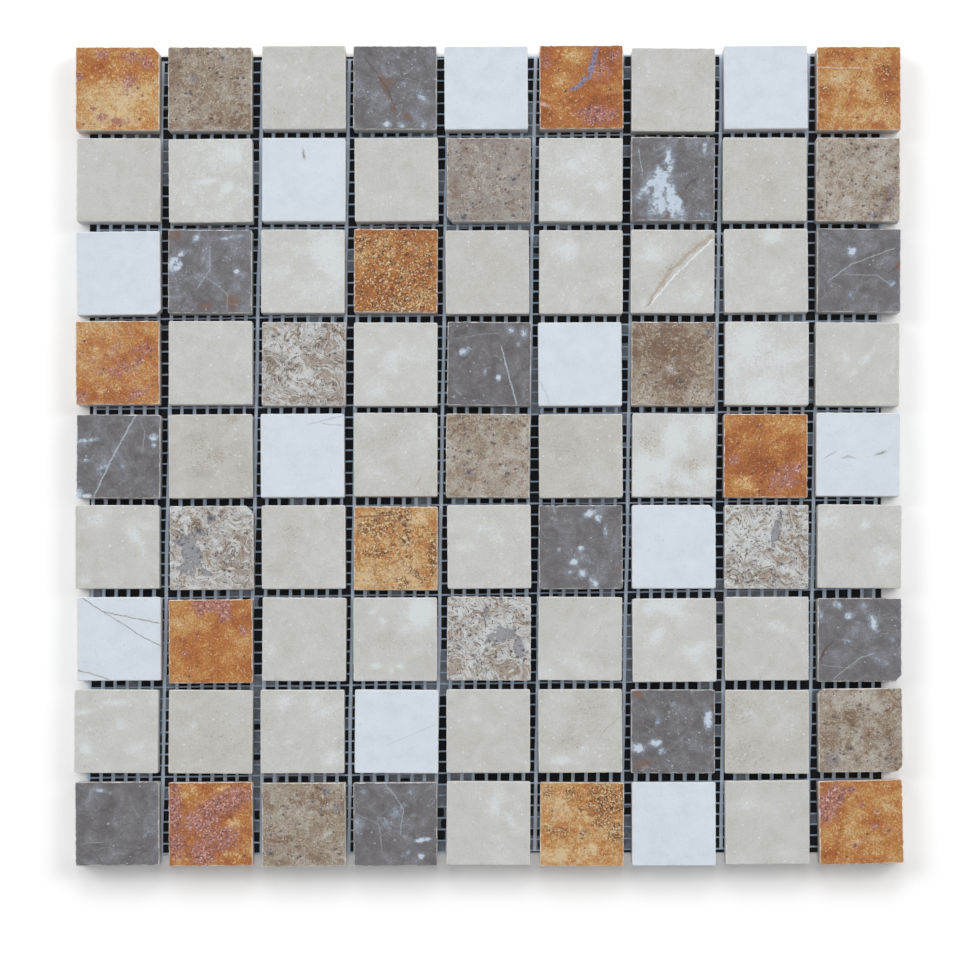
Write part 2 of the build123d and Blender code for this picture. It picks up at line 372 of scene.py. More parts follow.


# %% [markdown]
# ## What each chip shows
# Natural stone is never twice the same, and a few chips have marks that the eye finds at once: a white
# branch of calcite, a band, a rusty crust. These are listed one by one. A mark is placed by its share of the
# face from the left and from the top, as one reads a picture. A patch has two reaches, a turn and a
# strength. A line has a half width in millimetres, a strength and the points it runs through.

# %% Pale patches
PALE = {
    (0, 0): [(0.55, 0.66, 0.45, 0.3, 0, 1.2), (0.3, 0.82, 0.3, 0.16, 0, 1.1),
        (0.16, 0.5, 0.12, 0.1, 0, 0.6)],
    (0, 2): [(0.25, 0.3, 0.3, 0.1, -30, 0.6), (0.5, 0.38, 0.1, 0.04, -20, 0.9)],
    (0, 3): [(0.4, 0.95, 0.07, 0.06, 0, 0.9), (0.57, 0.95, 0.05, 0.06, 0, 1.0),
        (0.84, 0.95, 0.06, 0.06, 0, 1.0), (0.82, 0.6, 0.12, 0.07, -35, 0.9),
        (0.42, 0.68, 0.06, 0.04, 30, 0.7), (0.6, 0.45, 0.04, 0.03, 0, 0.8)],
    (0, 5): [(0.39, 0.1, 0.15, 0.09, 0, 1.2), (0.25, 0.45, 0.1, 0.14, 0, 0.7),
        (0.35, 0.8, 0.16, 0.12, 0, 0.6)],
    (0, 8): [(0.4, 0.45, 0.24, 0.16, 0, 0.7), (0.6, 0.2, 0.16, 0.12, 0, 0.5),
        (0.5, 0.8, 0.3, 0.12, 0, 0.75)],
    (1, 1): [(0.7, 0.2, 0.24, 0.16, 0, 0.8), (0.48, 0.5, 0.12, 0.03, 10, 1.1),
        (0.68, 0.62, 0.05, 0.14, -40, 1.1), (0.9, 0.62, 0.1, 0.03, -30, 0.9)],
    (1, 3): [(0.35, 0.75, 0.2, 0.1, 0, 0.5)],
    (1, 4): [(0.4, 0.35, 0.1, 0.2, -20, 0.6), (0.6, 0.55, 0.14, 0.12, 40, 0.7)],
    (1, 5): [(0.5, 0.25, 0.3, 0.1, 30, 0.8), (0.75, 0.58, 0.1, 0.07, 0, 0.9),
        (0.3, 0.85, 0.2, 0.08, -20, 0.7)],
    (1, 6): [(0.28, 0.5, 0.08, 0.34, -40, 1.3), (0.36, 0.6, 0.08, 0.36, -20, 1.5),
        (0.48, 0.72, 0.07, 0.3, 10, 1.5), (0.57, 0.84, 0.07, 0.18, 20, 1.5),
        (0.33, 0.8, 0.12, 0.16, 0, 1.4), (0.44, 0.24, 0.035, 0.12, -8, 1.5),
        (0.86, 0.9, 0.14, 0.1, 0, 0.7), (0.88, 0.12, 0.03, 0.08, 0, 1.1)],
    (1, 8): [(0.7, 0.35, 0.06, 0.05, 0, 0.7)],
    (2, 1): [(0.07, 0.42, 0.09, 0.09, 0, 1.5), (0.17, 0.3, 0.07, 0.05, 0, 1.0),
        (0.75, 0.09, 0.22, 0.03, 8, 0.9), (0.33, 0.1, 0.06, 0.05, 40, 1.0),
        (0.82, 0.5, 0.045, 0.045, 0, 1.2), (0.48, 0.4, 0.04, 0.1, 0, 0.8)],
    (2, 2): [(0.85, 0.3, 0.18, 0.35, 20, 1.0), (0.6, 0.7, 0.3, 0.14, 20, 0.6)],
    (2, 3): [(0.34, 0.15, 0.14, 0.12, 0, 1.3), (0.12, 0.36, 0.12, 0.12, 0, 1.2),
        (0.82, 0.8, 0.16, 0.12, 0, 1.2), (0.5, 0.4, 0.5, 0.4, 0, 0.3)],
    (2, 5): [(0.35, 0.25, 0.2, 0.14, 0, 0.8), (0.4, 0.75, 0.14, 0.16, -30, 0.7),
        (0.8, 0.6, 0.15, 0.1, 0, 0.6)],
    (2, 6): [(0.25, 0.3, 0.24, 0.16, 40, 0.7), (0.75, 0.75, 0.2, 0.16, 0, 0.6),
        (0.16, 0.9, 0.05, 0.05, 0, 0.9)],
    (2, 7): [(0.56, 0.07, 0.13, 0.1, 0, 1.3), (0.6, 0.6, 0.16, 0.2, 0, 0.6),
        (0.06, 0.35, 0.1, 0.2, 0, 0.7)],
    (2, 8): [(0.41, 0.27, 0.06, 0.07, 0, 1.3), (0.88, 0.65, 0.07, 0.05, 0, 0.9),
        (0.4, 0.79, 0.03, 0.05, 0, 0.8)],
    (3, 0): [(0.3, 0.1, 0.3, 0.12, 0, 0.6), (0.2, 0.42, 0.16, 0.12, 0, 0.5),
        (0.78, 0.65, 0.12, 0.16, 20, 0.4), (0.48, 0.78, 0.06, 0.06, 0, 1.5),
        (0.3, 0.84, 0.05, 0.05, 0, 1.5)],
    (3, 2): [(0.3, 0.2, 0.2, 0.16, 0, 0.7), (0.5, 0.65, 0.3, 0.14, 25, 0.6)],
    (3, 3): [(0.6, 0.4, 0.3, 0.2, 20, 0.6), (0.3, 0.8, 0.2, 0.08, 0, 0.7)],
    (3, 4): [(0.75, 0.1, 0.05, 0.06, 0, 1.1), (0.92, 0.12, 0.05, 0.08, 20, 1.2),
        (0.85, 0.26, 0.06, 0.04, 30, 0.7), (0.19, 0.36, 0.1, 0.05, 25, 1.0),
        (0.61, 0.67, 0.04, 0.045, 0, 1.2), (0.45, 0.6, 0.04, 0.06, 0, 0.7)],
    (3, 6): [(0.48, 0.56, 0.05, 0.06, 0, 1.5), (0.15, 0.92, 0.2, 0.1, 0, 0.9),
        (0.85, 0.9, 0.2, 0.1, 0, 0.8)],
    (3, 7): [(0.25, 0.35, 0.25, 0.3, 0, 0.9), (0.6, 0.8, 0.4, 0.16, 0, 0.9),
        (0.7, 0.4, 0.2, 0.1, 0, 0.6)],
    (3, 8): [(0.6, 0.45, 0.04, 0.12, -30, 0.9), (0.35, 0.42, 0.04, 0.04, 0, 1.0),
        (0.45, 0.6, 0.1, 0.04, 30, 0.8)],
    (4, 0): [(0.12, 0.31, 0.16, 0.035, 8, 1.1), (0.93, 0.27, 0.08, 0.05, 0, 1.1),
        (0.92, 0.36, 0.05, 0.05, 0, 0.9), (0.3, 0.63, 0.08, 0.06, 0, 0.95),
        (0.1, 0.55, 0.1, 0.03, 0, 0.9), (0.28, 0.71, 0.05, 0.03, 0, 0.8),
        (0.02, 0.95, 0.06, 0.08, 0, 1.4), (0.12, 0.98, 0.08, 0.03, 0, 1.2),
        (0.55, 0.62, 0.04, 0.04, 0, 0.7)],
    (4, 3): [(0.12, 0.1, 0.2, 0.1, -30, 0.8), (0.85, 0.3, 0.2, 0.14, 40, 0.8),
        (0.25, 0.7, 0.2, 0.1, 0, 0.6)],
    (4, 6): [(0.5, 0.25, 0.14, 0.3, -10, 1.1), (0.3, 0.65, 0.3, 0.14, -20, 1.1),
        (0.85, 0.72, 0.1, 0.1, 0, 1.2), (0.85, 0.15, 0.14, 0.16, 0, 1.0), (0.12, 0.8, 0.14, 0.2, 0, 1.0),
        (0.65, 0.8, 0.25, 0.06, -30, 0.9)],
    (4, 7): [(0.25, 0.81, 0.14, 0.08, 0, 1.0), (0.75, 0.1, 0.25, 0.1, 0, 0.8),
        (0.55, 0.3, 0.2, 0.1, 0, 0.5)],
    (4, 8): [(0.5, 0.3, 0.3, 0.2, 0, 0.5)],
    (5, 0): [(0.3, 0.16, 0.18, 0.12, 30, 1.0), (0.7, 0.35, 0.06, 0.16, 30, 1.0),
        (0.8, 0.55, 0.06, 0.14, 0, 0.8), (0.1, 0.9, 0.08, 0.06, 0, 1.1),
        (0.85, 0.26, 0.08, 0.06, 0, 0.8)],
    (5, 1): [(0.16, 0.06, 0.2, 0.1, 0, 0.7), (0.75, 0.25, 0.25, 0.1, 0, 0.7),
        (0.5, 0.75, 0.12, 0.08, 0, 0.8), (0.91, 0.06, 0.1, 0.06, -30, 1.3),
        (0.55, 0.42, 0.04, 0.03, 0, 1.3), (0.4, 0.9, 0.3, 0.08, 0, 0.6)],
    (5, 2): [(0.7, 0.1, 0.06, 0.06, 0, 0.8), (0.8, 0.6, 0.2, 0.2, 0, 0.4)],
    (5, 3): [(0.5, 0.5, 0.9, 0.9, 0, 1.0), (0.12, 0.82, 0.18, 0.18, 0, 1.6),
        (0.45, 0.75, 0.16, 0.12, 0, 1.2), (0.72, 0.62, 0.14, 0.18, 0, 1.5),
        (0.3, 0.25, 0.2, 0.12, 0, 1.2), (0.8, 0.15, 0.12, 0.14, 0, 1.5)],
    (5, 4): [(0.5, 0.3, 0.3, 0.12, 0, 0.7), (0.62, 0.35, 0.03, 0.08, 20, 1.2),
        (0.2, 0.5, 0.14, 0.06, 0, 0.9)],
    (5, 5): [(0.62, 0.09, 0.14, 0.05, 30, 1.0), (0.72, 0.16, 0.05, 0.05, 0, 1.2),
        (0.5, 0.52, 0.05, 0.04, 0, 1.2), (0.41, 0.68, 0.06, 0.05, 0, 1.1),
        (0.52, 0.8, 0.07, 0.07, 0, 1.1), (0.66, 0.92, 0.05, 0.09, 30, 1.1),
        (0.8, 0.3, 0.03, 0.12, 0, 0.9), (0.24, 0.53, 0.03, 0.03, 0, 1.0),
        (0.35, 0.8, 0.06, 0.03, 0, 0.9)],
    (5, 7): [(0.25, 0.3, 0.25, 0.3, 0, 0.9), (0.56, 0.25, 0.06, 0.25, 8, 1.1),
        (0.7, 0.75, 0.3, 0.04, -20, 0.8)],
    (5, 8): [(0.56, 0.25, 0.055, 0.05, 0, 1.4), (0.78, 0.62, 0.16, 0.12, 0, 1.0),
        (0.1, 0.2, 0.16, 0.14, 0, 0.6)],
    (6, 1): [(0.25, 0.3, 0.25, 0.2, 0, 0.2)],
    (6, 2): [(0.12, 0.6, 0.1, 0.1, 0, 0.8), (0.5, 0.75, 0.06, 0.06, 0, 0.8)],
    (6, 3): [(0.8, 0.2, 0.2, 0.22, 0, 1.5), (0.62, 0.36, 0.12, 0.1, 0, 1.1),
        (0.35, 0.28, 0.05, 0.03, -30, 1.3), (0.22, 0.17, 0.04, 0.03, 0, 1.3),
        (0.27, 0.82, 0.06, 0.03, 0, 1.3), (0.45, 0.87, 0.03, 0.05, 0, 1.3),
        (0.55, 0.82, 0.05, 0.03, 0, 1.3)],
    (6, 4): [(0.2, 0.15, 0.2, 0.1, 0, 1.0), (0.6, 0.42, 0.17, 0.09, 25, 0.9),
        (0.25, 0.75, 0.2, 0.12, 0, 0.8), (0.45, 0.5, 0.1, 0.2, 0, 0.6), (0.8, 0.2, 0.1, 0.06, 0, 0.6)],
    (6, 5): [(0.45, 0.8, 0.3, 0.12, -25, 1.1), (0.12, 0.9, 0.16, 0.12, 0, 0.9),
        (0.7, 0.3, 0.16, 0.1, 60, 0.6)],
    (6, 6): [(0.4, 0.1, 0.3, 0.12, 0, 0.9), (0.28, 0.45, 0.06, 0.14, -30, 0.9),
        (0.75, 0.65, 0.16, 0.16, 0, 0.6)],
    (6, 7): [(0.6, 0.35, 0.2, 0.06, -20, 0.8), (0.3, 0.4, 0.04, 0.04, 0, 0.8)],
    (6, 8): [(0.23, 0.08, 0.07, 0.05, -30, 1.1), (0.37, 0.21, 0.06, 0.05, 0, 1.0),
        (0.66, 0.3, 0.06, 0.12, 20, 1.2), (0.55, 0.09, 0.05, 0.04, 0, 0.9),
        (0.03, 0.18, 0.04, 0.08, 0, 1.0), (0.5, 0.3, 0.06, 0.04, 0, 0.8),
        (0.3, 0.5, 0.14, 0.03, -15, 0.8), (0.75, 0.75, 0.14, 0.05, -30, 0.7),
        (0.9, 0.5, 0.04, 0.04, 0, 0.7)],
    (7, 0): [(0.5, 0.16, 0.2, 0.04, 0, 1.0), (0.12, 0.27, 0.16, 0.03, 15, 1.0),
        (0.55, 0.4, 0.08, 0.08, 40, 1.0), (0.14, 0.7, 0.07, 0.06, -30, 1.2),
        (0.95, 0.12, 0.06, 0.1, 0, 0.9), (0.7, 0.7, 0.1, 0.06, 0, 0.8)],
    (7, 1): [(0.3, 0.42, 0.03, 0.04, 0, 1.1)],
    (7, 2): [(0.7, 0.25, 0.2, 0.2, 0, 0.8), (0.85, 0.82, 0.08, 0.12, -40, 1.2),
        (0.3, 0.15, 0.1, 0.1, 0, 0.8)],
    (7, 4): [(0.55, 0.5, 0.1, 0.06, 0, 0.8), (0.35, 0.35, 0.05, 0.05, 0, 0.8)],
    (7, 5): [(0.3, 0.86, 0.14, 0.06, 0, 1.3), (0.5, 0.75, 0.06, 0.05, 0, 1.0),
        (0.25, 0.12, 0.16, 0.1, 0, 0.6)],
    (7, 6): [(0.06, 0.7, 0.12, 0.055, -5, 1.5), (0.28, 0.64, 0.08, 0.05, 10, 1.4),
        (0.37, 0.73, 0.05, 0.05, 0, 1.2), (0.92, 0.37, 0.055, 0.13, 0, 1.4),
        (0.52, 0.16, 0.03, 0.03, 0, 0.9), (0.32, 0.4, 0.05, 0.06, 0, 0.7)],
    (7, 7): [(0.7, 0.4, 0.2, 0.2, 0, 0.4), (0.28, 0.3, 0.06, 0.04, 0, 0.8)],
    (7, 8): [(0.5, 0.15, 0.3, 0.12, 0, 0.7), (0.4, 0.6, 0.16, 0.08, -40, 0.6)],
    (8, 0): [(0.3, 0.1, 0.14, 0.03, -10, 0.9), (0.4, 0.14, 0.03, 0.04, 0, 0.9),
        (0.39, 0.5, 0.015, 0.015, 0, 1.3)],
    (8, 1): [(0.77, 0.5, 0.075, 0.075, 0, 2.0), (0.28, 0.14, 0.14, 0.1, 0, 0.8),
        (0.8, 0.86, 0.2, 0.06, 10, 1.0), (0.12, 0.88, 0.08, 0.1, 0, 0.8),
        (0.62, 0.08, 0.12, 0.04, 20, 1.0), (0.35, 0.28, 0.1, 0.04, 0, 1.0),
        (0.26, 0.7, 0.08, 0.06, 0, 0.8)],
    (8, 2): [(0.4, 0.45, 0.2, 0.16, 0, 0.5), (0.8, 0.6, 0.1, 0.03, 30, 0.8)],
    (8, 3): [(0.82, 0.69, 0.12, 0.035, 5, 1.1), (0.05, 0.5, 0.05, 0.1, 0, 0.9),
        (0.81, 0.88, 0.05, 0.05, 0, 1.1), (0.12, 0.1, 0.06, 0.04, 0, 0.7),
        (0.68, 0.12, 0.04, 0.04, 0, 0.7), (0.5, 0.35, 0.1, 0.1, 30, 0.6), (0.75, 0.4, 0.1, 0.03, 0, 0.6),
        (0.62, 0.85, 0.08, 0.04, 30, 0.7)],
    (8, 4): [(0.6, 0.25, 0.1, 0.2, -10, 0.9), (0.75, 0.45, 0.05, 0.16, 40, 1.0),
        (0.6, 0.68, 0.1, 0.04, 0, 0.8), (0.85, 0.3, 0.05, 0.05, 0, 0.8)],
    (8, 5): [(0.5, 0.5, 0.9, 0.9, 0, 0.55), (0.27, 0.2, 0.14, 0.1, -30, 1.1),
        (0.55, 0.42, 0.14, 0.07, -35, 1.1), (0.63, 0.78, 0.06, 0.1, 30, 1.5),
        (0.22, 0.88, 0.18, 0.09, 0, 1.5), (0.1, 0.5, 0.08, 0.1, 0, 0.8)],
    (8, 7): [(0.25, 0.25, 0.12, 0.14, 0, 0.7), (0.75, 0.85, 0.14, 0.08, 0, 0.7),
        (0.6, 0.3, 0.2, 0.1, 0, 0.4)],
    (8, 8): [(0.35, 0.6, 0.2, 0.14, 0, 0.7), (0.8, 0.3, 0.16, 0.16, 0, 0.6),
        (0.65, 0.85, 0.25, 0.08, 0, 0.6)],
}
print("chips with pale patches", len(PALE))

# %% Dark patches
DARK = {
    (0, 0): [(0.3, 0.22, 0.35, 0.16, 20, 0.9), (0.8, 0.2, 0.16, 0.18, 0, 0.9),
        (0.08, 0.6, 0.06, 0.16, 0, 0.5)],
    (0, 1): [(0.08, 0.25, 0.12, 0.3, 0, 0.8), (0.25, 0.05, 0.12, 0.06, 0, 0.7),
        (0.85, 0.85, 0.2, 0.16, 0, 0.5)],
    (0, 2): [(0.22, 0.82, 0.12, 0.1, 0, 0.45), (0.7, 0.75, 0.2, 0.16, 0, 0.25)],
    (0, 3): [(0.42, 0.6, 0.035, 0.36, 24, 1.0), (0.42, 0.42, 0.14, 0.07, -30, 0.8),
        (0.65, 0.85, 0.06, 0.06, 0, 0.8)],
    (0, 5): [(0.7, 0.7, 0.3, 0.24, 0, 0.9), (0.85, 0.15, 0.14, 0.14, 0, 0.9),
        (0.12, 0.2, 0.12, 0.2, 0, 0.6)],
    (0, 8): [(0.82, 0.3, 0.16, 0.14, 40, 1.0), (0.1, 0.52, 0.1, 0.08, 0, 1.0),
        (0.86, 0.62, 0.1, 0.14, 0, 0.9), (0.25, 0.1, 0.16, 0.07, 0, 0.7),
        (0.72, 0.95, 0.08, 0.04, 0, 0.8)],
    (1, 0): [(0.85, 0.2, 0.12, 0.14, 0, 0.2)],
    (1, 3): [(0.65, 0.12, 0.12, 0.08, 0, 0.35), (0.2, 0.35, 0.2, 0.14, 0, 0.2)],
    (1, 4): [(0.3, 0.4, 0.05, 0.3, 20, 0.7), (0.08, 0.65, 0.08, 0.14, 0, 0.7),
        (0.7, 0.85, 0.25, 0.08, 0, 0.5)],
    (1, 6): [(0.41, 0.93, 0.06, 0.08, 0, 1.1)],
    (1, 7): [(0.5, 0.5, 0.4, 0.3, 0, 0.25)],
    (1, 8): [(0.62, 0.13, 0.06, 0.05, 30, 1.0), (0.95, 0.38, 0.05, 0.08, 0, 1.0),
        (0.88, 0.68, 0.08, 0.16, -40, 0.9), (0.75, 0.92, 0.14, 0.06, 20, 0.8),
        (0.56, 0.48, 0.06, 0.06, 0, 0.6), (0.18, 0.3, 0.03, 0.04, 0, 0.8)],
    (2, 1): [(0.77, 0.87, 0.1, 0.12, 0, 1.0), (0.06, 0.06, 0.12, 0.1, 0, 0.9),
        (0.45, 0.92, 0.12, 0.06, 0, 0.8)],
    (2, 3): [(0.45, 0.7, 0.4, 0.2, 20, 0.6), (0.75, 0.45, 0.25, 0.25, 0, 0.5)],
    (2, 6): [(0.45, 0.46, 0.05, 0.16, -48, 0.8), (0.7, 0.25, 0.04, 0.2, -52, 0.7),
        (0.38, 0.68, 0.04, 0.14, -30, 0.6)],
    (2, 8): [(0.96, 0.46, 0.03, 0.07, -30, 1.2)],
    (3, 0): [(0.65, 0.4, 0.3, 0.1, 30, 0.7), (0.5, 0.85, 0.5, 0.14, 0, 0.6),
        (0.85, 0.3, 0.12, 0.14, 0, 0.6)],
    (3, 2): [(0.66, 0.27, 0.17, 0.03, 5, 0.9), (0.44, 0.2, 0.03, 0.13, 15, 0.8),
        (0.17, 0.64, 0.18, 0.035, -45, 0.9), (0.12, 0.48, 0.14, 0.03, -30, 0.8),
        (0.85, 0.12, 0.12, 0.1, 0, 0.7), (0.75, 0.45, 0.2, 0.12, 0, 0.5),
        (0.6, 0.92, 0.2, 0.04, 20, 0.7)],
    (3, 6): [(0.4, 0.3, 0.4, 0.2, 0, 0.9), (0.15, 0.2, 0.2, 0.2, 0, 0.8), (0.5, 0.75, 0.2, 0.1, 0, 0.7)],
    (4, 1): [(0.35, 0.35, 0.22, 0.18, 0, 0.6), (0.58, 0.5, 0.16, 0.12, 0, 0.7),
        (0.37, 0.63, 0.16, 0.12, 0, 0.6), (0.77, 0.06, 0.1, 0.07, 0, 0.8),
        (0.88, 0.75, 0.14, 0.16, 0, 0.45), (0.5, 0.5, 0.5, 0.4, 0, 0.35)],
    (4, 3): [(0.45, 0.25, 0.2, 0.14, 0, 0.4), (0.85, 0.95, 0.1, 0.05, 0, 0.5)],
    (4, 4): [(0.15, 0.15, 0.2, 0.14, 0, 0.6), (0.75, 0.1, 0.2, 0.1, 0, 0.6),
        (0.28, 0.75, 0.1, 0.1, 0, 0.6)],
    (4, 5): [(0.45, 0.45, 0.3, 0.2, 0, 0.35), (0.12, 0.06, 0.05, 0.04, 0, 0.7)],
    (4, 6): [(0.18, 0.32, 0.14, 0.16, 0, 0.7), (0.72, 0.6, 0.16, 0.07, 15, 0.8),
        (0.5, 0.88, 0.2, 0.05, 0, 0.5)],
    (4, 7): [(0.4, 0.68, 0.4, 0.1, 0, 0.7), (0.08, 0.45, 0.1, 0.2, 0, 0.8),
        (0.85, 0.4, 0.14, 0.12, 0, 0.7)],
    (5, 1): [(0.3, 0.25, 0.12, 0.06, -40, 0.8), (0.72, 0.62, 0.25, 0.2, 0, 0.6),
        (0.1, 0.3, 0.1, 0.1, 0, 0.6), (0.62, 0.1, 0.1, 0.04, 40, 0.8), (0.85, 0.4, 0.1, 0.14, 0, 0.5)],
    (5, 2): [(0.35, 0.3, 0.14, 0.16, 0, 0.5), (0.1, 0.75, 0.1, 0.1, 0, 0.45),
        (0.35, 0.6, 0.1, 0.08, 0, 0.4)],
    (5, 3): [(0.4, 0.3, 0.4, 0.2, 0, 0.5), (0.9, 0.55, 0.1, 0.35, 0, 0.4),
        (0.3, 0.55, 0.25, 0.08, 0, 0.6)],
    (5, 5): [(0.15, 0.06, 0.16, 0.06, 0, 0.6), (0.95, 0.75, 0.06, 0.12, 0, 0.7)],
    (5, 7): [(0.35, 0.85, 0.4, 0.14, 0, 0.7), (0.85, 0.4, 0.12, 0.3, 20, 0.6),
        (0.4, 0.05, 0.3, 0.05, 0, 0.4)],
    (5, 8): [(0.3, 0.65, 0.3, 0.2, 0, 0.25)],
    (6, 1): [(0.6, 0.8, 0.5, 0.2, 0, 0.3)],
    (6, 3): [(0.4, 0.55, 0.4, 0.2, 0, 0.35)],
    (6, 4): [(0.88, 0.2, 0.1, 0.04, -25, 1.0), (0.1, 0.45, 0.12, 0.2, 0, 0.6),
        (0.6, 0.75, 0.3, 0.16, 0, 0.5), (0.55, 0.15, 0.14, 0.08, 0, 0.6)],
    (6, 8): [(0.5, 0.6, 0.4, 0.3, 0, 0.25)],
    (7, 0): [(0.15, 0.92, 0.1, 0.05, 0, 0.45), (0.35, 0.5, 0.2, 0.2, 0, 0.3)],
    (7, 1): [(0.6, 0.6, 0.4, 0.3, 0, 0.35)],
    (7, 2): [(0.95, 0.65, 0.04, 0.1, 0, 0.5), (0.05, 0.4, 0.06, 0.14, 0, 0.4)],
    (7, 5): [(0.6, 0.25, 0.25, 0.16, 40, 0.5), (0.4, 0.65, 0.25, 0.1, 0, 0.4)],
    (7, 6): [(0.08, 0.06, 0.08, 0.07, 0, 0.9), (0.14, 0.88, 0.14, 0.08, 0, 0.8)],
    (7, 7): [(0.14, 0.25, 0.16, 0.2, 0, 0.5), (0.3, 0.75, 0.25, 0.2, 0, 0.5)],
    (7, 8): [(0.4, 0.35, 0.12, 0.1, 0, 0.8), (0.75, 0.5, 0.14, 0.14, 0, 0.7),
        (0.9, 0.1, 0.1, 0.12, 0, 0.7), (0.35, 0.72, 0.06, 0.14, 40, 0.9), (0.8, 0.85, 0.1, 0.08, 0, 0.6),
        (0.12, 0.5, 0.08, 0.12, 0, 0.5)],
    (8, 1): [(0.55, 0.35, 0.3, 0.2, 0, 0.7), (0.4, 0.75, 0.25, 0.2, 0, 0.7),
        (0.06, 0.5, 0.08, 0.5, 0, 0.6)],
    (8, 2): [(0.3, 0.66, 0.12, 0.04, 10, 1.0), (0.62, 0.9, 0.1, 0.06, 0, 0.7),
        (0.65, 0.2, 0.14, 0.14, 0, 0.5)],
    (8, 5): [(0.7, 0.25, 0.3, 0.25, 0, 0.7), (0.2, 0.6, 0.25, 0.08, 10, 0.7),
        (0.85, 0.85, 0.12, 0.1, 0, 0.5)],
    (8, 8): [(0.14, 0.25, 0.14, 0.24, -30, 0.9), (0.1, 0.85, 0.14, 0.1, 0, 0.6),
        (0.6, 0.5, 0.2, 0.06, 0, 0.5)],
}
print("chips with dark patches", len(DARK))

# %% [markdown]
# A third kind of patch means something else in each stone: a granular crust in the gold one, smooth grey
# fill in the brown and the mottled ones, and a field of hairlines in the grey one. In the cream one it is
# a warmer cloud.

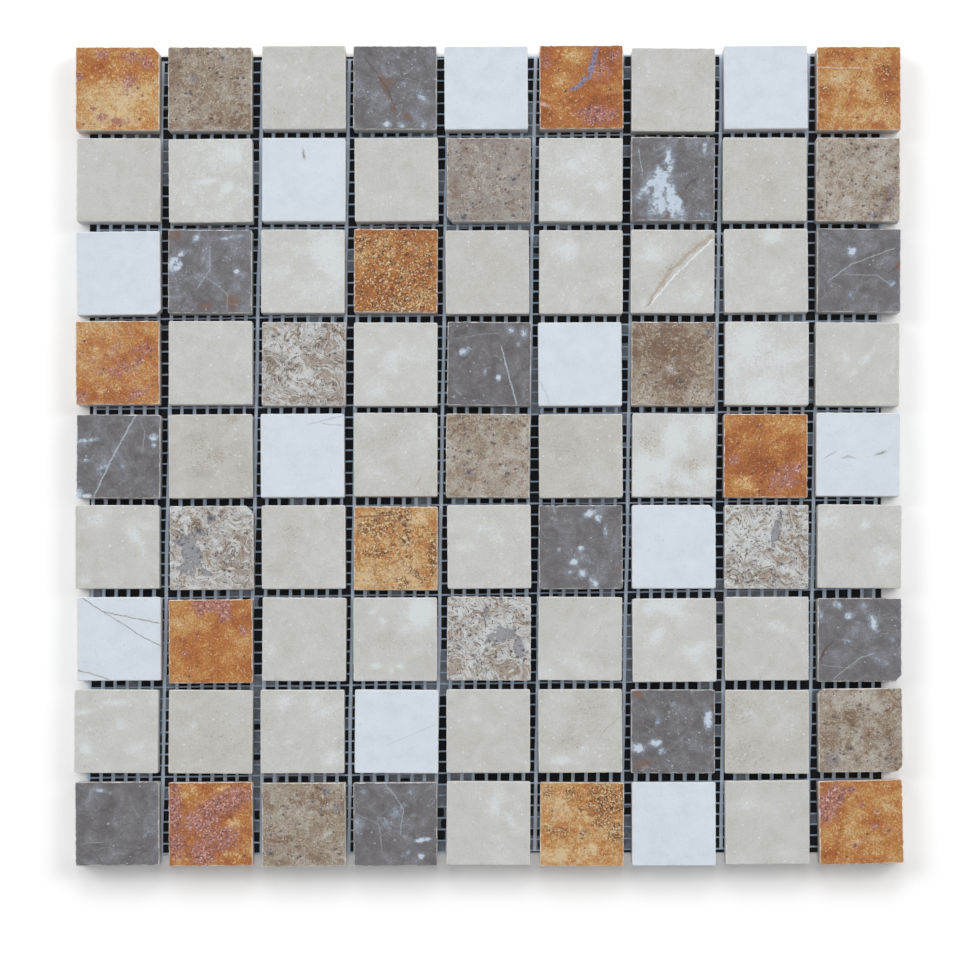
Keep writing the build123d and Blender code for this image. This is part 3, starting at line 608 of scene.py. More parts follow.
# %% Crusts
CRUST = {
    (0, 0): [(0.31, 0.09, 0.09, 0.05, 0, 1.0), (0.67, 0.12, 0.12, 0.06, 0, 0.9),
        (0.85, 0.18, 0.08, 0.1, 0, 0.8), (0.62, 0.44, 0.14, 0.14, 0, 0.7),
        (0.04, 0.36, 0.05, 0.05, 0, 1.5), (0.32, 0.84, 0.1, 0.05, 0, 0.8), (0.5, 0.9, 0.14, 0.05, 0, 0.7),
        (0.2, 0.74, 0.06, 0.04, 0, 0.7)],
    (0, 1): [(0.3, 0.38, 0.06, 0.05, 0, 1.0), (0.7, 0.14, 0.08, 0.03, 10, 1.0),
        (0.22, 0.05, 0.05, 0.04, 0, 0.9)],
    (0, 3): [(0.7, 0.25, 0.3, 0.25, 0, 0.8), (0.25, 0.75, 0.2, 0.2, 0, 0.5)],
    (0, 5): [(0.73, 0.3, 0.14, 0.16, 0, 0.7), (0.7, 0.84, 0.26, 0.12, 0, 0.9),
        (0.9, 0.12, 0.08, 0.08, 0, 0.8), (0.08, 0.2, 0.07, 0.12, 0, 0.6)],
    (0, 8): [(0.5, 0.5, 0.9, 0.9, 0, 0.2), (0.28, 0.1, 0.16, 0.06, 0, 0.5),
        (0.82, 0.28, 0.14, 0.14, 0, 0.6), (0.12, 0.52, 0.1, 0.08, 0, 0.6),
        (0.84, 0.64, 0.12, 0.14, 0, 0.5)],
    (1, 4): [(0.79, 0.52, 0.1, 0.12, 0, 1.0), (0.66, 0.62, 0.1, 0.08, 0, 0.8),
        (0.75, 0.2, 0.2, 0.12, 0, 0.5), (0.17, 0.96, 0.1, 0.035, 0, 1.6)],
    (1, 6): [(0.75, 0.6, 0.14, 0.16, 0, 1.1), (0.65, 0.45, 0.06, 0.05, 0, 1.1)],
    (1, 8): [(0.86, 0.72, 0.1, 0.2, -20, 0.9), (0.7, 0.92, 0.2, 0.06, 0, 0.8)],
    (2, 1): [(0.3, 0.14, 0.1, 0.1, 0, 1.0), (0.7, 0.3, 0.1, 0.1, 0, 0.6)],
    (2, 3): [(0.5, 0.5, 0.9, 0.9, 0, 0.6), (0.5, 0.88, 0.55, 0.18, 0, 1.0),
        (0.1, 0.15, 0.14, 0.12, 0, 1.0), (0.85, 0.45, 0.16, 0.3, 0, 0.8),
        (0.6, 0.6, 0.25, 0.16, 30, 0.8)],
    (3, 0): [(0.5, 0.5, 0.9, 0.9, 0, 0.3), (0.6, 0.55, 0.3, 0.1, 25, 0.7),
        (0.82, 0.32, 0.18, 0.09, 20, 0.65), (0.75, 0.86, 0.2, 0.07, 30, 0.7),
        (0.08, 0.92, 0.12, 0.08, 0, 0.7), (0.3, 0.6, 0.14, 0.06, 0, 0.5)],
    (3, 4): [(0.25, 0.9, 0.14, 0.07, 0, 1.0), (0.62, 0.4, 0.06, 0.05, 0, 0.9)],
    (3, 6): [(0.92, 0.12, 0.05, 0.07, 0, 1.6), (0.45, 0.6, 0.16, 0.1, 0, 0.6)],
    (4, 4): [(0.28, 0.72, 0.07, 0.07, 0, 1.2), (0.26, 0.46, 0.04, 0.04, 0, 1.0),
        (0.74, 0.72, 0.05, 0.04, 0, 1.0)],
    (4, 7): [(0.76, 0.76, 0.24, 0.13, 35, 0.9), (0.12, 0.55, 0.08, 0.1, 0, 0.5),
        (0.13, 0.12, 0.05, 0.05, 0, 0.6)],
    (5, 1): [(0.2, 0.42, 0.14, 0.09, 0, 1.0), (0.27, 0.6, 0.13, 0.14, 0, 1.1),
        (0.22, 0.76, 0.14, 0.08, 0, 0.9), (0.44, 0.79, 0.12, 0.03, -25, 0.9),
        (0.5, 0.14, 0.06, 0.05, 0, 0.9), (0.36, 0.3, 0.08, 0.045, -40, 0.9)],
    (5, 3): [(0.5, 0.5, 0.9, 0.9, 0, 0.4), (0.5, 0.1, 0.2, 0.09, 5, 1.2), (0.3, 0.25, 0.26, 0.14, 0, 1.0),
        (0.62, 0.28, 0.06, 0.2, -8, 1.3), (0.94, 0.6, 0.06, 0.24, 0, 1.2),
        (0.57, 0.92, 0.12, 0.08, 0, 1.1), (0.3, 0.55, 0.28, 0.08, 0, 0.8),
        (0.75, 0.8, 0.18, 0.05, -40, 0.9), (0.62, 0.42, 0.06, 0.06, 0, 1.3)],
    (5, 7): [(0.62, 0.3, 0.05, 0.24, -12, 0.85)],
    (6, 1): [(0.36, 0.09, 0.06, 0.1, 0, 1.5), (0.5, 0.07, 0.12, 0.06, 0, 1.5),
        (0.67, 0.12, 0.07, 0.12, 0, 1.7), (0.9, 0.38, 0.07, 0.07, 0, 0.6),
        (0.2, 0.65, 0.06, 0.05, 0, 0.5)],
    (6, 4): [(0.64, 0.45, 0.2, 0.09, 25, 0.95), (0.86, 0.6, 0.06, 0.14, 20, 1.0),
        (0.78, 0.47, 0.08, 0.03, 0, 0.9), (0.45, 0.2, 0.03, 0.1, -20, 0.8)],
    (6, 8): [(0.85, 0.25, 0.1, 0.14, 0, 0.5)],
    (7, 6): [(0.55, 0.25, 0.25, 0.2, 0, 0.9), (0.7, 0.6, 0.16, 0.2, 0, 0.8),
        (0.3, 0.92, 0.2, 0.06, 0, 0.7)],
    (7, 8): [(0.16, 0.86, 0.1, 0.1, 0, 1.3), (0.83, 0.85, 0.05, 0.06, 0, 1.0),
        (0.55, 0.4, 0.08, 0.1, 0, 0.6)],
    (8, 1): [(0.08, 0.3, 0.07, 0.3, 0, 1.3), (0.72, 0.22, 0.26, 0.14, 20, 1.1),
        (0.4, 0.42, 0.24, 0.16, 30, 1.0), (0.6, 0.66, 0.26, 0.16, 0, 1.0),
        (0.4, 0.85, 0.16, 0.16, 20, 1.0), (0.1, 0.75, 0.1, 0.2, 0, 0.9)],
    (8, 2): [(0.76, 0.08, 0.06, 0.07, 0, 1.0), (0.9, 0.3, 0.05, 0.08, 0, 0.9),
        (0.08, 0.8, 0.05, 0.08, 0, 0.8)],
    (8, 3): [(0.4, 0.5, 0.2, 0.14, 0, 0.7)],
    (8, 5): [(0.8, 0.22, 0.24, 0.24, 0, 1.1), (0.72, 0.45, 0.12, 0.1, -30, 1.0),
        (0.9, 0.6, 0.12, 0.16, 0, 0.9), (0.38, 0.14, 0.12, 0.1, 0, 0.8), (0.2, 0.58, 0.22, 0.07, 0, 0.7),
        (0.5, 0.62, 0.12, 0.06, 20, 0.6), (0.1, 0.12, 0.1, 0.1, 0, 0.6)],
    (8, 8): [(0.14, 0.26, 0.12, 0.24, -30, 1.4), (0.52, 0.3, 0.03, 0.03, 0, 1.1),
        (0.68, 0.38, 0.04, 0.04, 0, 1.0), (0.66, 0.56, 0.05, 0.03, 0, 1.1),
        (0.42, 0.78, 0.04, 0.05, 0, 1.0), (0.82, 0.6, 0.04, 0.04, 0, 0.9),
        (0.4, 0.1, 0.05, 0.04, 0, 1.0)],
}
print("chips with crusts", len(CRUST))

# %% [markdown]
# Lines are veins and fissures, and cracks are the open ones, which show darker. A chip has up to three in
# all.

# %% Lines and cracks
LINES = {
    (0, 5): [(0.5, 0.8, (0.02, 0.7), (0.1, 0.73)),
        (0.75, 1.0, (0.68, 0.05), (0.6, 0.36), (0.5, 0.46), (0.38, 0.52))],
    (0, 8): [(0.22, 0.9, (0.0, 0.25), (0.26, 0.25), (0.52, 0.255))],
    (1, 2): [(0.35, 0.9, (0.49, 0.16), (0.5, 0.23))],
    (1, 6): [(0.16, 0.9, (0.09, 0.16), (0.13, 0.42)), (0.16, 0.6, (0.92, 0.02), (0.88, 0.2))],
    (2, 1): [(0.2, 0.6, (0.5, 0.22), (0.5, 0.48), (0.36, 0.68)),
        (0.2, 0.6, (0.5, 0.6), (0.72, 0.78), (0.7, 0.95))],
    (2, 6): [(0.28, 1.0, (0.97, 0.12), (0.53, 0.54), (0.22, 0.92))],
    (2, 8): [(0.18, 0.8, (0.15, 0.62), (0.4, 0.43), (0.9, 0.24)),
        (0.18, 0.7, (0.36, 0.55), (0.72, 0.56), (0.88, 0.67))],
    (3, 4): [(0.22, 1.0, (0.65, 0.31), (0.72, 0.59), (0.83, 0.97)),
        (0.16, 0.5, (0.1, 0.2), (0.45, 0.14), (0.62, 0.13))],
    (3, 5): [(0.3, 0.28, (0.02, 0.72), (0.08, 0.82), (0.13, 0.97))],
    (4, 0): [(0.24, 1.0, (0.71, 0.0), (0.45, 0.47), (0.22, 0.96)),
        (0.2, 0.6, (0.76, 0.08), (0.82, 0.22), (0.79, 0.42))],
    (4, 2): [(0.25, 0.35, (0.6, 0.12), (1.0, 0.02)), (0.25, 0.3, (0.75, 0.12), (0.98, 0.14))],
    (4, 8): [(0.28, 0.9, (0.72, 0.5), (0.81, 0.47)), (0.28, 0.5, (0.12, 0.53), (0.2, 0.48))],
    (6, 0): [(0.2, 0.85, (0.08, 0.02), (0.3, 0.17), (0.62, 0.24), (0.97, 0.31)),
        (0.18, 0.85, (0.3, 0.17), (0.55, 0.32), (0.75, 0.46), (0.99, 0.58))],
    (6, 8): [(0.16, 0.7, (0.2, 0.95), (0.5, 0.72), (0.66, 0.66)),
        (0.16, 0.6, (0.05, 0.8), (0.4, 0.84), (0.45, 0.78))],
    (7, 3): [(0.14, 0.3, (0.4, 0.66), (0.95, 0.42))],
    (8, 0): [(0.16, 0.4, (0.1, 0.74), (0.3, 0.72)), (0.16, 0.3, (0.85, 0.2), (0.98, 0.14))],
    (8, 3): [(0.18, 0.7, (0.38, 0.02), (0.5, 0.16), (0.6, 0.32), (0.56, 0.6)),
        (0.18, 0.6, (0.0, 0.36), (0.3, 0.5), (0.34, 0.8))],
}
CRACKS = {
    (0, 3): [(0.22, 0.8, (0.15, 0.15), (0.4, 0.5), (0.5, 0.75))],
    (1, 6): [(0.28, 1.0, (0.67, 0.59), (0.7, 0.54), (0.78, 0.49))],
    (2, 6): [(0.6, 0.8, (0.99, 0.05), (0.7, 0.28), (0.46, 0.5), (0.2, 0.9))],
    (2, 8): [(0.2, 0.8, (0.87, 0.52), (1.0, 0.43))],
    (4, 3): [(0.24, 1.0, (0.75, 0.86), (0.79, 0.79))],
    (4, 8): [(0.3, 0.5, (0.32, 0.54), (0.38, 0.52), (0.44, 0.54))],
    (5, 3): [(0.25, 0.9, (0.05, 0.13), (0.45, 0.1))],
    (6, 0): [(0.2, 0.85, (0.02, 0.88), (0.15, 0.91), (0.36, 0.98))],
    (6, 8): [(0.35, 1.0, (0.03, 0.74), (0.08, 0.62), (0.16, 0.53))],
    (7, 5): [(0.16, 0.8, (0.92, 0.38), (0.8, 0.48), (0.74, 0.57))],
    (8, 0): [(0.25, 0.4, (0.14, 0.74), (0.5, 0.78), (0.95, 0.84))],
}
print("chips with lines or cracks", len(set(LINES) | set(CRACKS)))

# %% [markdown]
# Some chips were cut from a lighter, darker, warmer or cooler part of the block. Travertine also has
# holes, noted by their place and reach in millimetres where they are large, and strewn at random where
# they are small.

# %% Tones and holes
LIGHTER = {
    (0, 0), (0, 8), (1, 1), (1, 5), (1, 8), (2, 1), (2, 2), (3, 0), (3, 3), (4, 4), (5, 3), (5, 7), (6, 4),
    (6, 6), (8, 5),
}
DARKER = {(0, 5), (3, 4), (3, 6), (4, 1), (4, 7), (7, 6), (7, 7), (8, 1)}
WARMER = {
    (0, 0), (0, 3), (0, 5), (1, 7), (2, 1), (3, 0), (4, 1), (4, 5), (4, 7), (6, 1), (7, 1), (7, 5), (7, 7),
    (8, 1), (8, 8),
}
COOLER = {(0, 8), (1, 4), (2, 3), (3, 7), (4, 6), (5, 3), (8, 5)}
HOLES = {
    (0, 1): [(0.65, 0.13, 0.7), (0.22, 0.35, 0.6), (0.3, 0.75, 0.6), (0.62, 0.9, 0.6),
        (0.85, 0.45, 0.45)],
    (1, 4): [(0.8, 0.5, 0.7), (0.2, 0.96, 0.9), (0.7, 0.62, 0.5)],
    (1, 8): [(0.62, 0.13, 0.7), (0.17, 0.3, 0.5), (0.95, 0.36, 0.8), (0.85, 0.75, 0.7), (0.7, 0.95, 0.6)],
    (3, 2): [(0.2, 0.15, 0.6), (0.45, 0.05, 0.6), (0.75, 0.05, 0.7), (0.65, 0.57, 0.6)],
    (3, 6): [(0.92, 0.12, 0.8), (0.8, 0.35, 0.6)],
    (4, 4): [(0.6, 0.07, 0.6), (0.27, 0.45, 0.7), (0.55, 0.35, 0.6), (0.75, 0.72, 0.6),
        (0.27, 0.71, 0.9)],
    (5, 1): [(0.49, 0.15, 1.0), (0.35, 0.3, 0.8)],
    (5, 3): [(0.55, 0.15, 0.9), (0.6, 0.42, 0.7), (0.93, 0.68, 0.7)],
    (7, 8): [(0.5, 0.2, 0.6), (0.38, 0.72, 0.8), (0.18, 0.85, 0.7), (0.8, 0.85, 0.7)],
    (8, 2): [(0.75, 0.1, 0.7), (0.1, 0.85, 0.7), (0.45, 0.5, 0.4)],
    (8, 5): [(0.7, 0.2, 0.6), (0.85, 0.32, 0.6)],
}
PITS = {
    "brown_travertine_chips": 20,
    "mottled_travertine_chips": 16,
    "gold_travertine_chips": 8,
}
print("chips with noted holes", len(HOLES))

# %% [markdown]
# Two small functions read the notes at the points of a face.

# %% Read the notes
PATCH_FADE = 0.9
LINE_FADE = 0.05


def patches(notes, x, y):
    """How strongly the noted patches cover the points x, y, given as shares of the face."""
    cover = np.zeros(len(x))
    for across, down, reach_x, reach_y, turn, strength in notes:
        c, s = math.cos(math.radians(turn)), -math.sin(math.radians(turn))
        u, v = (x - across), (y - down)
        far = np.hypot((c * u + s * v) / reach_x, (c * v - s * u) / reach_y)
        cover = np.maximum(cover, strength * np.exp(-PATCH_FADE * far ** 2))
    return cover


def line_reach(note, x, y):
    """The signed distance to a noted line, in its half widths, and its strength, which fades at its ends."""
    half_width, strength, *points = note
    best = np.full(len(x), 1e9)
    signed = np.zeros(len(x))
    shown = np.zeros(len(x))
    for (x0, y0), (x1, y1) in zip(points, points[1:]):
        run = math.hypot(x1 - x0, y1 - y0)
        along = ((x - x0) * (x1 - x0) + (y - y0) * (y1 - y0)) / run
        aside = ((x - x0) * (y1 - y0) - (y - y0) * (x1 - x0)) / run
        past = np.maximum(np.maximum(-along, along - run), 0)
        far = np.hypot(aside, past)
        nearer = far < best
        best = np.where(nearer, far, best)
        signed = np.where(nearer, aside, signed)
        shown = np.where(nearer, np.clip(1 - past / LINE_FADE, 0, 1), shown)
    return signed * CHIP_SIDE / MM / half_width, strength * shown


# %% [markdown]
# ## The chips of one stone
# Tumbling rounds a chip's upright corners and knocks a few of them off. Every corner of the copy is
# rounded, and one that the solid has lost is cut back to the solid's own flat.

# %% Corners
LEAST_KNOCK = 1.0 * MM


def knock_corners(points, solid):
    """Rounds the upright corners, and cuts those that the solid has lost back to the solid's own flat."""
    half = CHIP_SIDE / 2
    inner = half - CORNER_ROUND
    over = np.maximum(np.abs(points[:, :2]) - inner, 0)
    far = np.hypot(over[:, 0], over[:, 1])
    pull = np.where((over.min(1) > 0) & (far > CORNER_ROUND), CORNER_ROUND / np.maximum(far, 1e-9), 1)
    points[:, :2] -= np.sign(points[:, :2]) * over * (1 - pull)[:, None]
    for side_x in (-1, 1):
        for side_y in (-1, 1):
            limit = (solid[:, 0] * side_x + solid[:, 1] * side_y).max()
            if 2 * half - limit < LEAST_KNOCK:
                continue
            past = np.maximum(points[:, 0] * side_x + points[:, 1] * side_y - limit, 0)
            points[:, 0] -= side_x * past / 2
            points[:, 1] -= side_y * past / 2


# %% [markdown]
# A copy of the blank goes to each place. Its pits are pressed in, and it takes its notes along as
# attributes that the stone's material reads. The grain coordinates are in millimetres, with a seeded
# offset, so that each chip is cut from another part of the block.

# %% One chip
CHIP_SEED = 100
PIT_DEPTH = 0.45 * MM
PIT_RIM = 1.2
PIT_STRETCH = (0.6, 1.6)
SMALL_PIT = (0.3, 0.6)
SMALL_PIT_FIELD = (0.05, 0.95)
BLOCK_REACH = 400
LIGHT_SPREAD = 0.35
WARM_SPREAD = 0.3
LINE_PLACES = 2
ALL_PLACES = 3
FAR_OFF = 99.0


def attribute(mesh, name, values):
    """Writes one vector for each point of a mesh."""
    made = mesh.attributes.new(name, "FLOAT_VECTOR", "POINT")
    made.data.foreach_set("vector", np.ascontiguousarray(values, dtype=np.float32).ravel())


def lay_chip(blank, node, middle, turn, solid):
    """A copy of the blank as one chip of the sheet, with its notes."""
    place = row_and_column(middle)
    dice = np.random.default_rng(CHIP_SEED + COLUMNS * place[0] + place[1])
    chip = blank.copy()
    chip.data = blank.data.copy()
    bpy.context.collection.objects.link(chip)
    count = len(chip.data.vertices)
    points = np.empty(count * 3, dtype=np.float32)
    chip.data.vertices.foreach_get("co", points)
    points = points.reshape(-1, 3).astype(float)
    share_x = points[:, 0] / CHIP_SIDE + 0.5
    share_y = 0.5 - points[:, 1] / CHIP_SIDE
    knock_corners(points, solid)
    on_face = points[:, 2] > CHIP_HEIGHT / 2 - HAIR
    pit = np.zeros(count)
    holes = list(HOLES.get(place, ()))
    for _ in range(PITS.get(node, 0)):
        holes.append((*dice.uniform(*SMALL_PIT_FIELD, 2), dice.uniform(*SMALL_PIT)))
    for across, down, reach in holes:
        x, y, reach = (across - 0.5) * CHIP_SIDE, (0.5 - down) * CHIP_SIDE, reach * MM
        stretch = dice.uniform(*PIT_STRETCH)
        far = np.hypot((points[:, 0] - x) / stretch, points[:, 1] - y) / reach
        pit = np.maximum(pit, np.clip(PIT_RIM - far, 0, 1) * on_face)
    points[:, 2] -= pit * PIT_DEPTH
    chip.data.vertices.foreach_set("co", points.astype(np.float32).ravel())
    attribute(chip.data, "grain", points / MM + dice.uniform(-BLOCK_REACH, BLOCK_REACH, 3))
    attribute(chip.data, "marks", np.stack(
        [patches(notes.get(place, ()), share_x, share_y) for notes in (PALE, DARK, CRUST)], 1))
    none = (np.full(count, FAR_OFF), np.zeros(count))
    reached = []
    for notes, places in ((LINES, LINE_PLACES), (CRACKS, ALL_PLACES)):
        reached += [line_reach(note, share_x, share_y) for note in notes.get(place, ())]
        reached += [none] * (places - len(reached))
    attribute(chip.data, "lines", np.stack([signed for signed, shown in reached], 1))
    attribute(chip.data, "show", np.stack([shown for signed, shown in reached], 1))
    light = (place in LIGHTER) - (place in DARKER) + dice.uniform(-LIGHT_SPREAD, LIGHT_SPREAD)
    warm = (place in WARMER) - (place in COOLER) + dice.uniform(-WARM_SPREAD, WARM_SPREAD)
    attribute(chip.data, "tone", np.stack([np.full(count, light), np.full(count, warm), pit], 1))
    chip.location = middle
    chip.rotation_euler.z = turn
    return chip


# %% [markdown]
# The copies of one stone are joined. Displace modifiers then bite small pieces out of the arrises, roughen
# them with crumbs, and leave the faces slightly wavy, as honing does.

# %% A whole stone
BITE_SIZE = 1.7 * MM
CRUMB_SIZE = 0.7 * MM
CRUMB_DEPTH = 0.03 * MM
WAVE_SIZE = 11 * MM
WAVE_DEPTH = 0.06 * MM
CRISP = math.radians(20)


def only(*objects):
    """Selects these objects alone, the first one active."""
    bpy.ops.object.select_all(action="DESELECT")
    for one in objects:
        one.select_set(True)
    bpy.context.view_layer.objects.active = objects[0]


def displace(piece, name, kind, size, strength, group, contrast=1.0, brightness=1.0, middle=0.5):
    """Moves a group of points along their normals by a procedural texture, and applies it."""
    texture = bpy.data.textures.new(name, kind)
    texture.noise_scale = size
    texture.contrast = contrast
    texture.intensity = brightness
    modifier = piece.modifiers.new(name, "DISPLACE")
    modifier.texture = texture
    modifier.strength = strength
    modifier.mid_level = middle
    modifier.vertex_group = group
    only(piece)
    bpy.ops.object.modifier_apply(modifier=name)


def lay_stone(name, node, cells, nibble, chequer):
    """The chips of one stone that lie on these fields of a chequer board, as one joined piece."""
    blank = blank_chip(cells)
    own = [solid for solid in chips[node] if sum(row_and_column(solid[0])) % 2 in chequer]
    copies = [lay_chip(blank, node, *solid) for solid in own]
    bpy.data.objects.remove(blank)
    only(*copies)
    bpy.ops.object.join()
    piece = bpy.context.object
    piece.name = name
    piece.data.name = name
    bpy.ops.object.transform_apply(location=True, rotation=True, scale=True)
    displace(piece, "bites", "CLOUDS", BITE_SIZE, -nibble, "arris", contrast=5.0, brightness=0.0, middle=0.0)
    displace(piece, "crumbs", "CLOUDS", CRUMB_SIZE, CRUMB_DEPTH, "arris")
    displace(piece, "hone", "CLOUDS", WAVE_SIZE, WAVE_DEPTH, "face")
    only(piece)
    bpy.ops.object.shade_smooth_by_angle(angle=CRISP)
    piece.data.materials.clear()
    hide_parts(node)
    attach(piece, "root")
    print(name, len(copies), "chips", len(piece.data.polygons), "faces")
    return piece


# %% [markdown]
# ## How a stone is coloured
# Every stone below is mixed from the same few things. Its grain coordinates are in millimetres, so a
# noise of scale 1/9 has clouds of about nine millimetres. Travertine is laid down in beds that fold as
# they grow, so a second set of coordinates is folded by a noise, then turned and stretched along the
# beds.

# %% What a chip tells its stone
BROKEN_SIZE = 2.4
SAND_SIZE = 0.55
BEDDING_TURN = math.radians(-30)
BEDDING_STRETCH = 2.0
FOLD_SIZE = 9.0
FOLD_DEPTH = 16.0


def start_stone(name):
    """A new stone and what its chips tell it: grain coordinates, marks, lines and tone."""
    material = bpy.data.materials.new(name)
    material.use_nodes = True
    tree = material.node_tree
    told = {"material": material, "tree": tree}
    told["grain"] = add(tree, "ShaderNodeAttribute", attribute_name="grain").outputs["Vector"]
    folds = add(tree, "ShaderNodeTexNoise", {"Vector": told["grain"], "Scale": 1 / FOLD_SIZE, "Detail": 1.0})
    depth = (FOLD_DEPTH, FOLD_DEPTH, 0.0)
    folded = add(tree, "ShaderNodeVectorMath", {0: folds.outputs["Color"], 1: depth, 2: told["grain"]},
                 operation="MULTIPLY_ADD")
    told["bedding"] = add(tree, "ShaderNodeMapping", {
        "Vector": folded.outputs[0],
        "Rotation": (0.0, 0.0, BEDDING_TURN),
        "Scale": (BEDDING_STRETCH, 1.0, 1.0),
    }, vector_type="TEXTURE").outputs[0]
    for group, parts in (
        ("marks", ("pale", "dark", "crust")), ("lines", "abc"),
        ("show", ("show_a", "show_b", "show_c")), ("tone", ("light", "warm", "pit")),
    ):
        told[group] = add(tree, "ShaderNodeAttribute", attribute_name=group).outputs["Vector"]
        split = add(tree, "ShaderNodeSeparateXYZ", {0: told[group]})
        told.update(zip(parts, split.outputs))
    for name, size, detail in (("broken", BROKEN_SIZE, 4.0), ("sand", SAND_SIZE, 2.0)):
        told[name] = add(tree, "ShaderNodeTexNoise", {
            "Vector": told["grain"], "Scale": 1 / size, "Detail": detail, "Roughness": 0.7}).outputs["Fac"]
    aside = add(tree, "ShaderNodeMath", {0: told["broken"], 1: 6.0, 2: -3.0}, operation="MULTIPLY_ADD")
    gaps = add(tree, "ShaderNodeMapRange", {0: told["sand"], 1: 0.36, 2: 0.5, 3: 0.45, 4: 1.0})
    for line in "abc":
        off = add(tree, "ShaderNodeMath", {0: told[line], 1: aside.outputs[0]}, operation="ADD")
        off = add(tree, "ShaderNodeMath", {0: off.outputs[0]}, operation="ABSOLUTE")
        on = add(tree, "ShaderNodeMapRange", {0: off.outputs[0], 1: 0.4, 2: 1.6, 3: 1.0, 4: 0.0},
                 interpolation_type="SMOOTHSTEP")
        on = add(tree, "ShaderNodeMath", {0: on.outputs[0], 1: gaps.outputs[0]}, operation="MULTIPLY")
        on = add(tree, "ShaderNodeMath", {0: on.outputs[0], 1: told["show_" + line]}, operation="MULTIPLY")
        told["on_" + line] = on.outputs[0]
    return told


# %% [markdown]
# The ground is a ramp of colours over soft clouds. The noted marks and the chip's tone move it up or down
# the ramp, and a fine noise adds grit. Other colours are then painted over it. A painted mark has its
# edge broken up, because no mark in stone ends in a smooth curve.

# %% Ground and paint


def ground(told, size, bend, by_marks, by_tone, grit, stops):
    """A ramp over clouds of a size in millimetres, moved by the chip's marks, its tone and fine grit."""
    tree = told["tree"]
    clouds = add(tree, "ShaderNodeTexNoise", {
        "Vector": told["grain"], "Scale": 1 / size, "Detail": 6.0, "Roughness": 0.6, "Distortion": bend})
    level = clouds.outputs["Fac"]
    fine = add(tree, "ShaderNodeMath", {0: told["sand"], 1: 0.5}, operation="SUBTRACT")
    level = add(tree, "ShaderNodeMath", {0: fine.outputs[0], 1: grit, 2: level},
                operation="MULTIPLY_ADD").outputs[0]
    for group, weights in (("marks", by_marks), ("tone", by_tone)):
        moved = add(tree, "ShaderNodeVectorMath", {0: told[group], 1: weights}, operation="DOT_PRODUCT")
        level = add(tree, "ShaderNodeMath", {0: level, 1: moved.outputs["Value"]}, operation="ADD").outputs[0]
    told["colour"] = shade(add(tree, "ShaderNodeValToRGB", {0: level}), stops)


def paint(told, mask, colour):
    """Lays a colour over the stone where the mask says."""
    told["colour"] = add(told["tree"], "ShaderNodeMix", {0: mask, 6: told["colour"], 7: linear(colour)},
                         data_type="RGBA").outputs[2]


def ragged(told, mark, low, high, most=1.0):
    """A painted mark with its edge broken up, from none at low to most at high."""
    tree = told["tree"]
    rough = add(tree, "ShaderNodeMath", {0: told["broken"], 1: 4.0, 2: -1.4}, operation="MULTIPLY_ADD")
    rough = add(tree, "ShaderNodeMath", {0: told["sand"], 1: 0.8, 2: rough.outputs[0]},
                operation="MULTIPLY_ADD")
    rough = add(tree, "ShaderNodeMath", {0: rough.outputs[0], 1: told[mark]}, operation="MULTIPLY")
    return add(tree, "ShaderNodeMapRange", {0: rough.outputs[0], 1: low, 2: high, 4: most},
               interpolation_type="SMOOTHSTEP").outputs[0]


# %% [markdown]
# Four kinds of fine pattern cover what these stones show: ragged flakes, wandering veins, single specks,
# and a net of seams around rounded grains. Each takes its size in millimetres and gives a mask to paint
# with.

# %% Flakes, veins, specks and nets


def flakes(told, size, bend, low, high, mark=None, gain=0.0, most=1.0, rough=0.65, along="grain"):
    """Ragged shapes of a size in millimetres where a noise goes from low to high. A mask can add more."""
    tree = told["tree"]
    clouds = add(tree, "ShaderNodeTexNoise", {
        "Vector": told[along], "Scale": 1 / size, "Detail": 3.0, "Roughness": rough, "Distortion": bend})
    level = clouds.outputs["Fac"]
    if mark is not None:
        level = add(tree, "ShaderNodeMath", {0: mark, 1: gain, 2: level}, operation="MULTIPLY_ADD").outputs[0]
    return add(tree, "ShaderNodeMapRange", {0: level, 1: low, 2: high, 4: most},
               interpolation_type="SMOOTHSTEP").outputs[0]


def veins(told, size, bend, width, low, high, mark=None, gain=0.0, most=1.0, along="grain"):
    """Wandering veins where a noise crosses its middle. Flakes, which a mask can raise, thin them out."""
    tree = told["tree"]
    path = add(tree, "ShaderNodeTexNoise", {
        "Vector": told[along], "Scale": 1 / size, "Detail": 4.0, "Roughness": 0.55, "Distortion": bend})
    off = add(tree, "ShaderNodeMath", {0: path.outputs["Fac"], 1: 0.5}, operation="SUBTRACT")
    off = add(tree, "ShaderNodeMath", {0: off.outputs[0]}, operation="ABSOLUTE")
    on = add(tree, "ShaderNodeMapRange", {0: off.outputs[0], 1: width, 2: width * 0.2, 4: most},
             interpolation_type="SMOOTHSTEP")
    kept = flakes(told, size * 0.7, 0.5, low, high, mark, gain)
    return add(tree, "ShaderNodeMath", {0: on.outputs[0], 1: kept}, operation="MULTIPLY").outputs[0]


def specks(told, size, reach, chance, more=None, gain=0.0, most=1.0):
    """Grains of a size in millimetres. Some are picked by chance, which a mask can raise by a gain."""
    tree = told["tree"]
    cells = add(tree, "ShaderNodeTexVoronoi", {"Vector": told["grain"], "Scale": 1 / size})
    spot = add(tree, "ShaderNodeMapRange", {0: cells.outputs["Distance"], 1: reach, 2: reach * 0.6, 4: most})
    draw = add(tree, "ShaderNodeSeparateColor", {0: cells.outputs["Color"]})
    if more is not None:
        chance = add(tree, "ShaderNodeMath", {0: more, 1: gain, 2: chance},
                     operation="MULTIPLY_ADD").outputs[0]
    picked = add(tree, "ShaderNodeMath", {0: draw.outputs[0], 1: chance}, operation="LESS_THAN")
    return add(tree, "ShaderNodeMath", {0: spot.outputs[0], 1: picked.outputs[0]},
               operation="MULTIPLY").outputs[0]


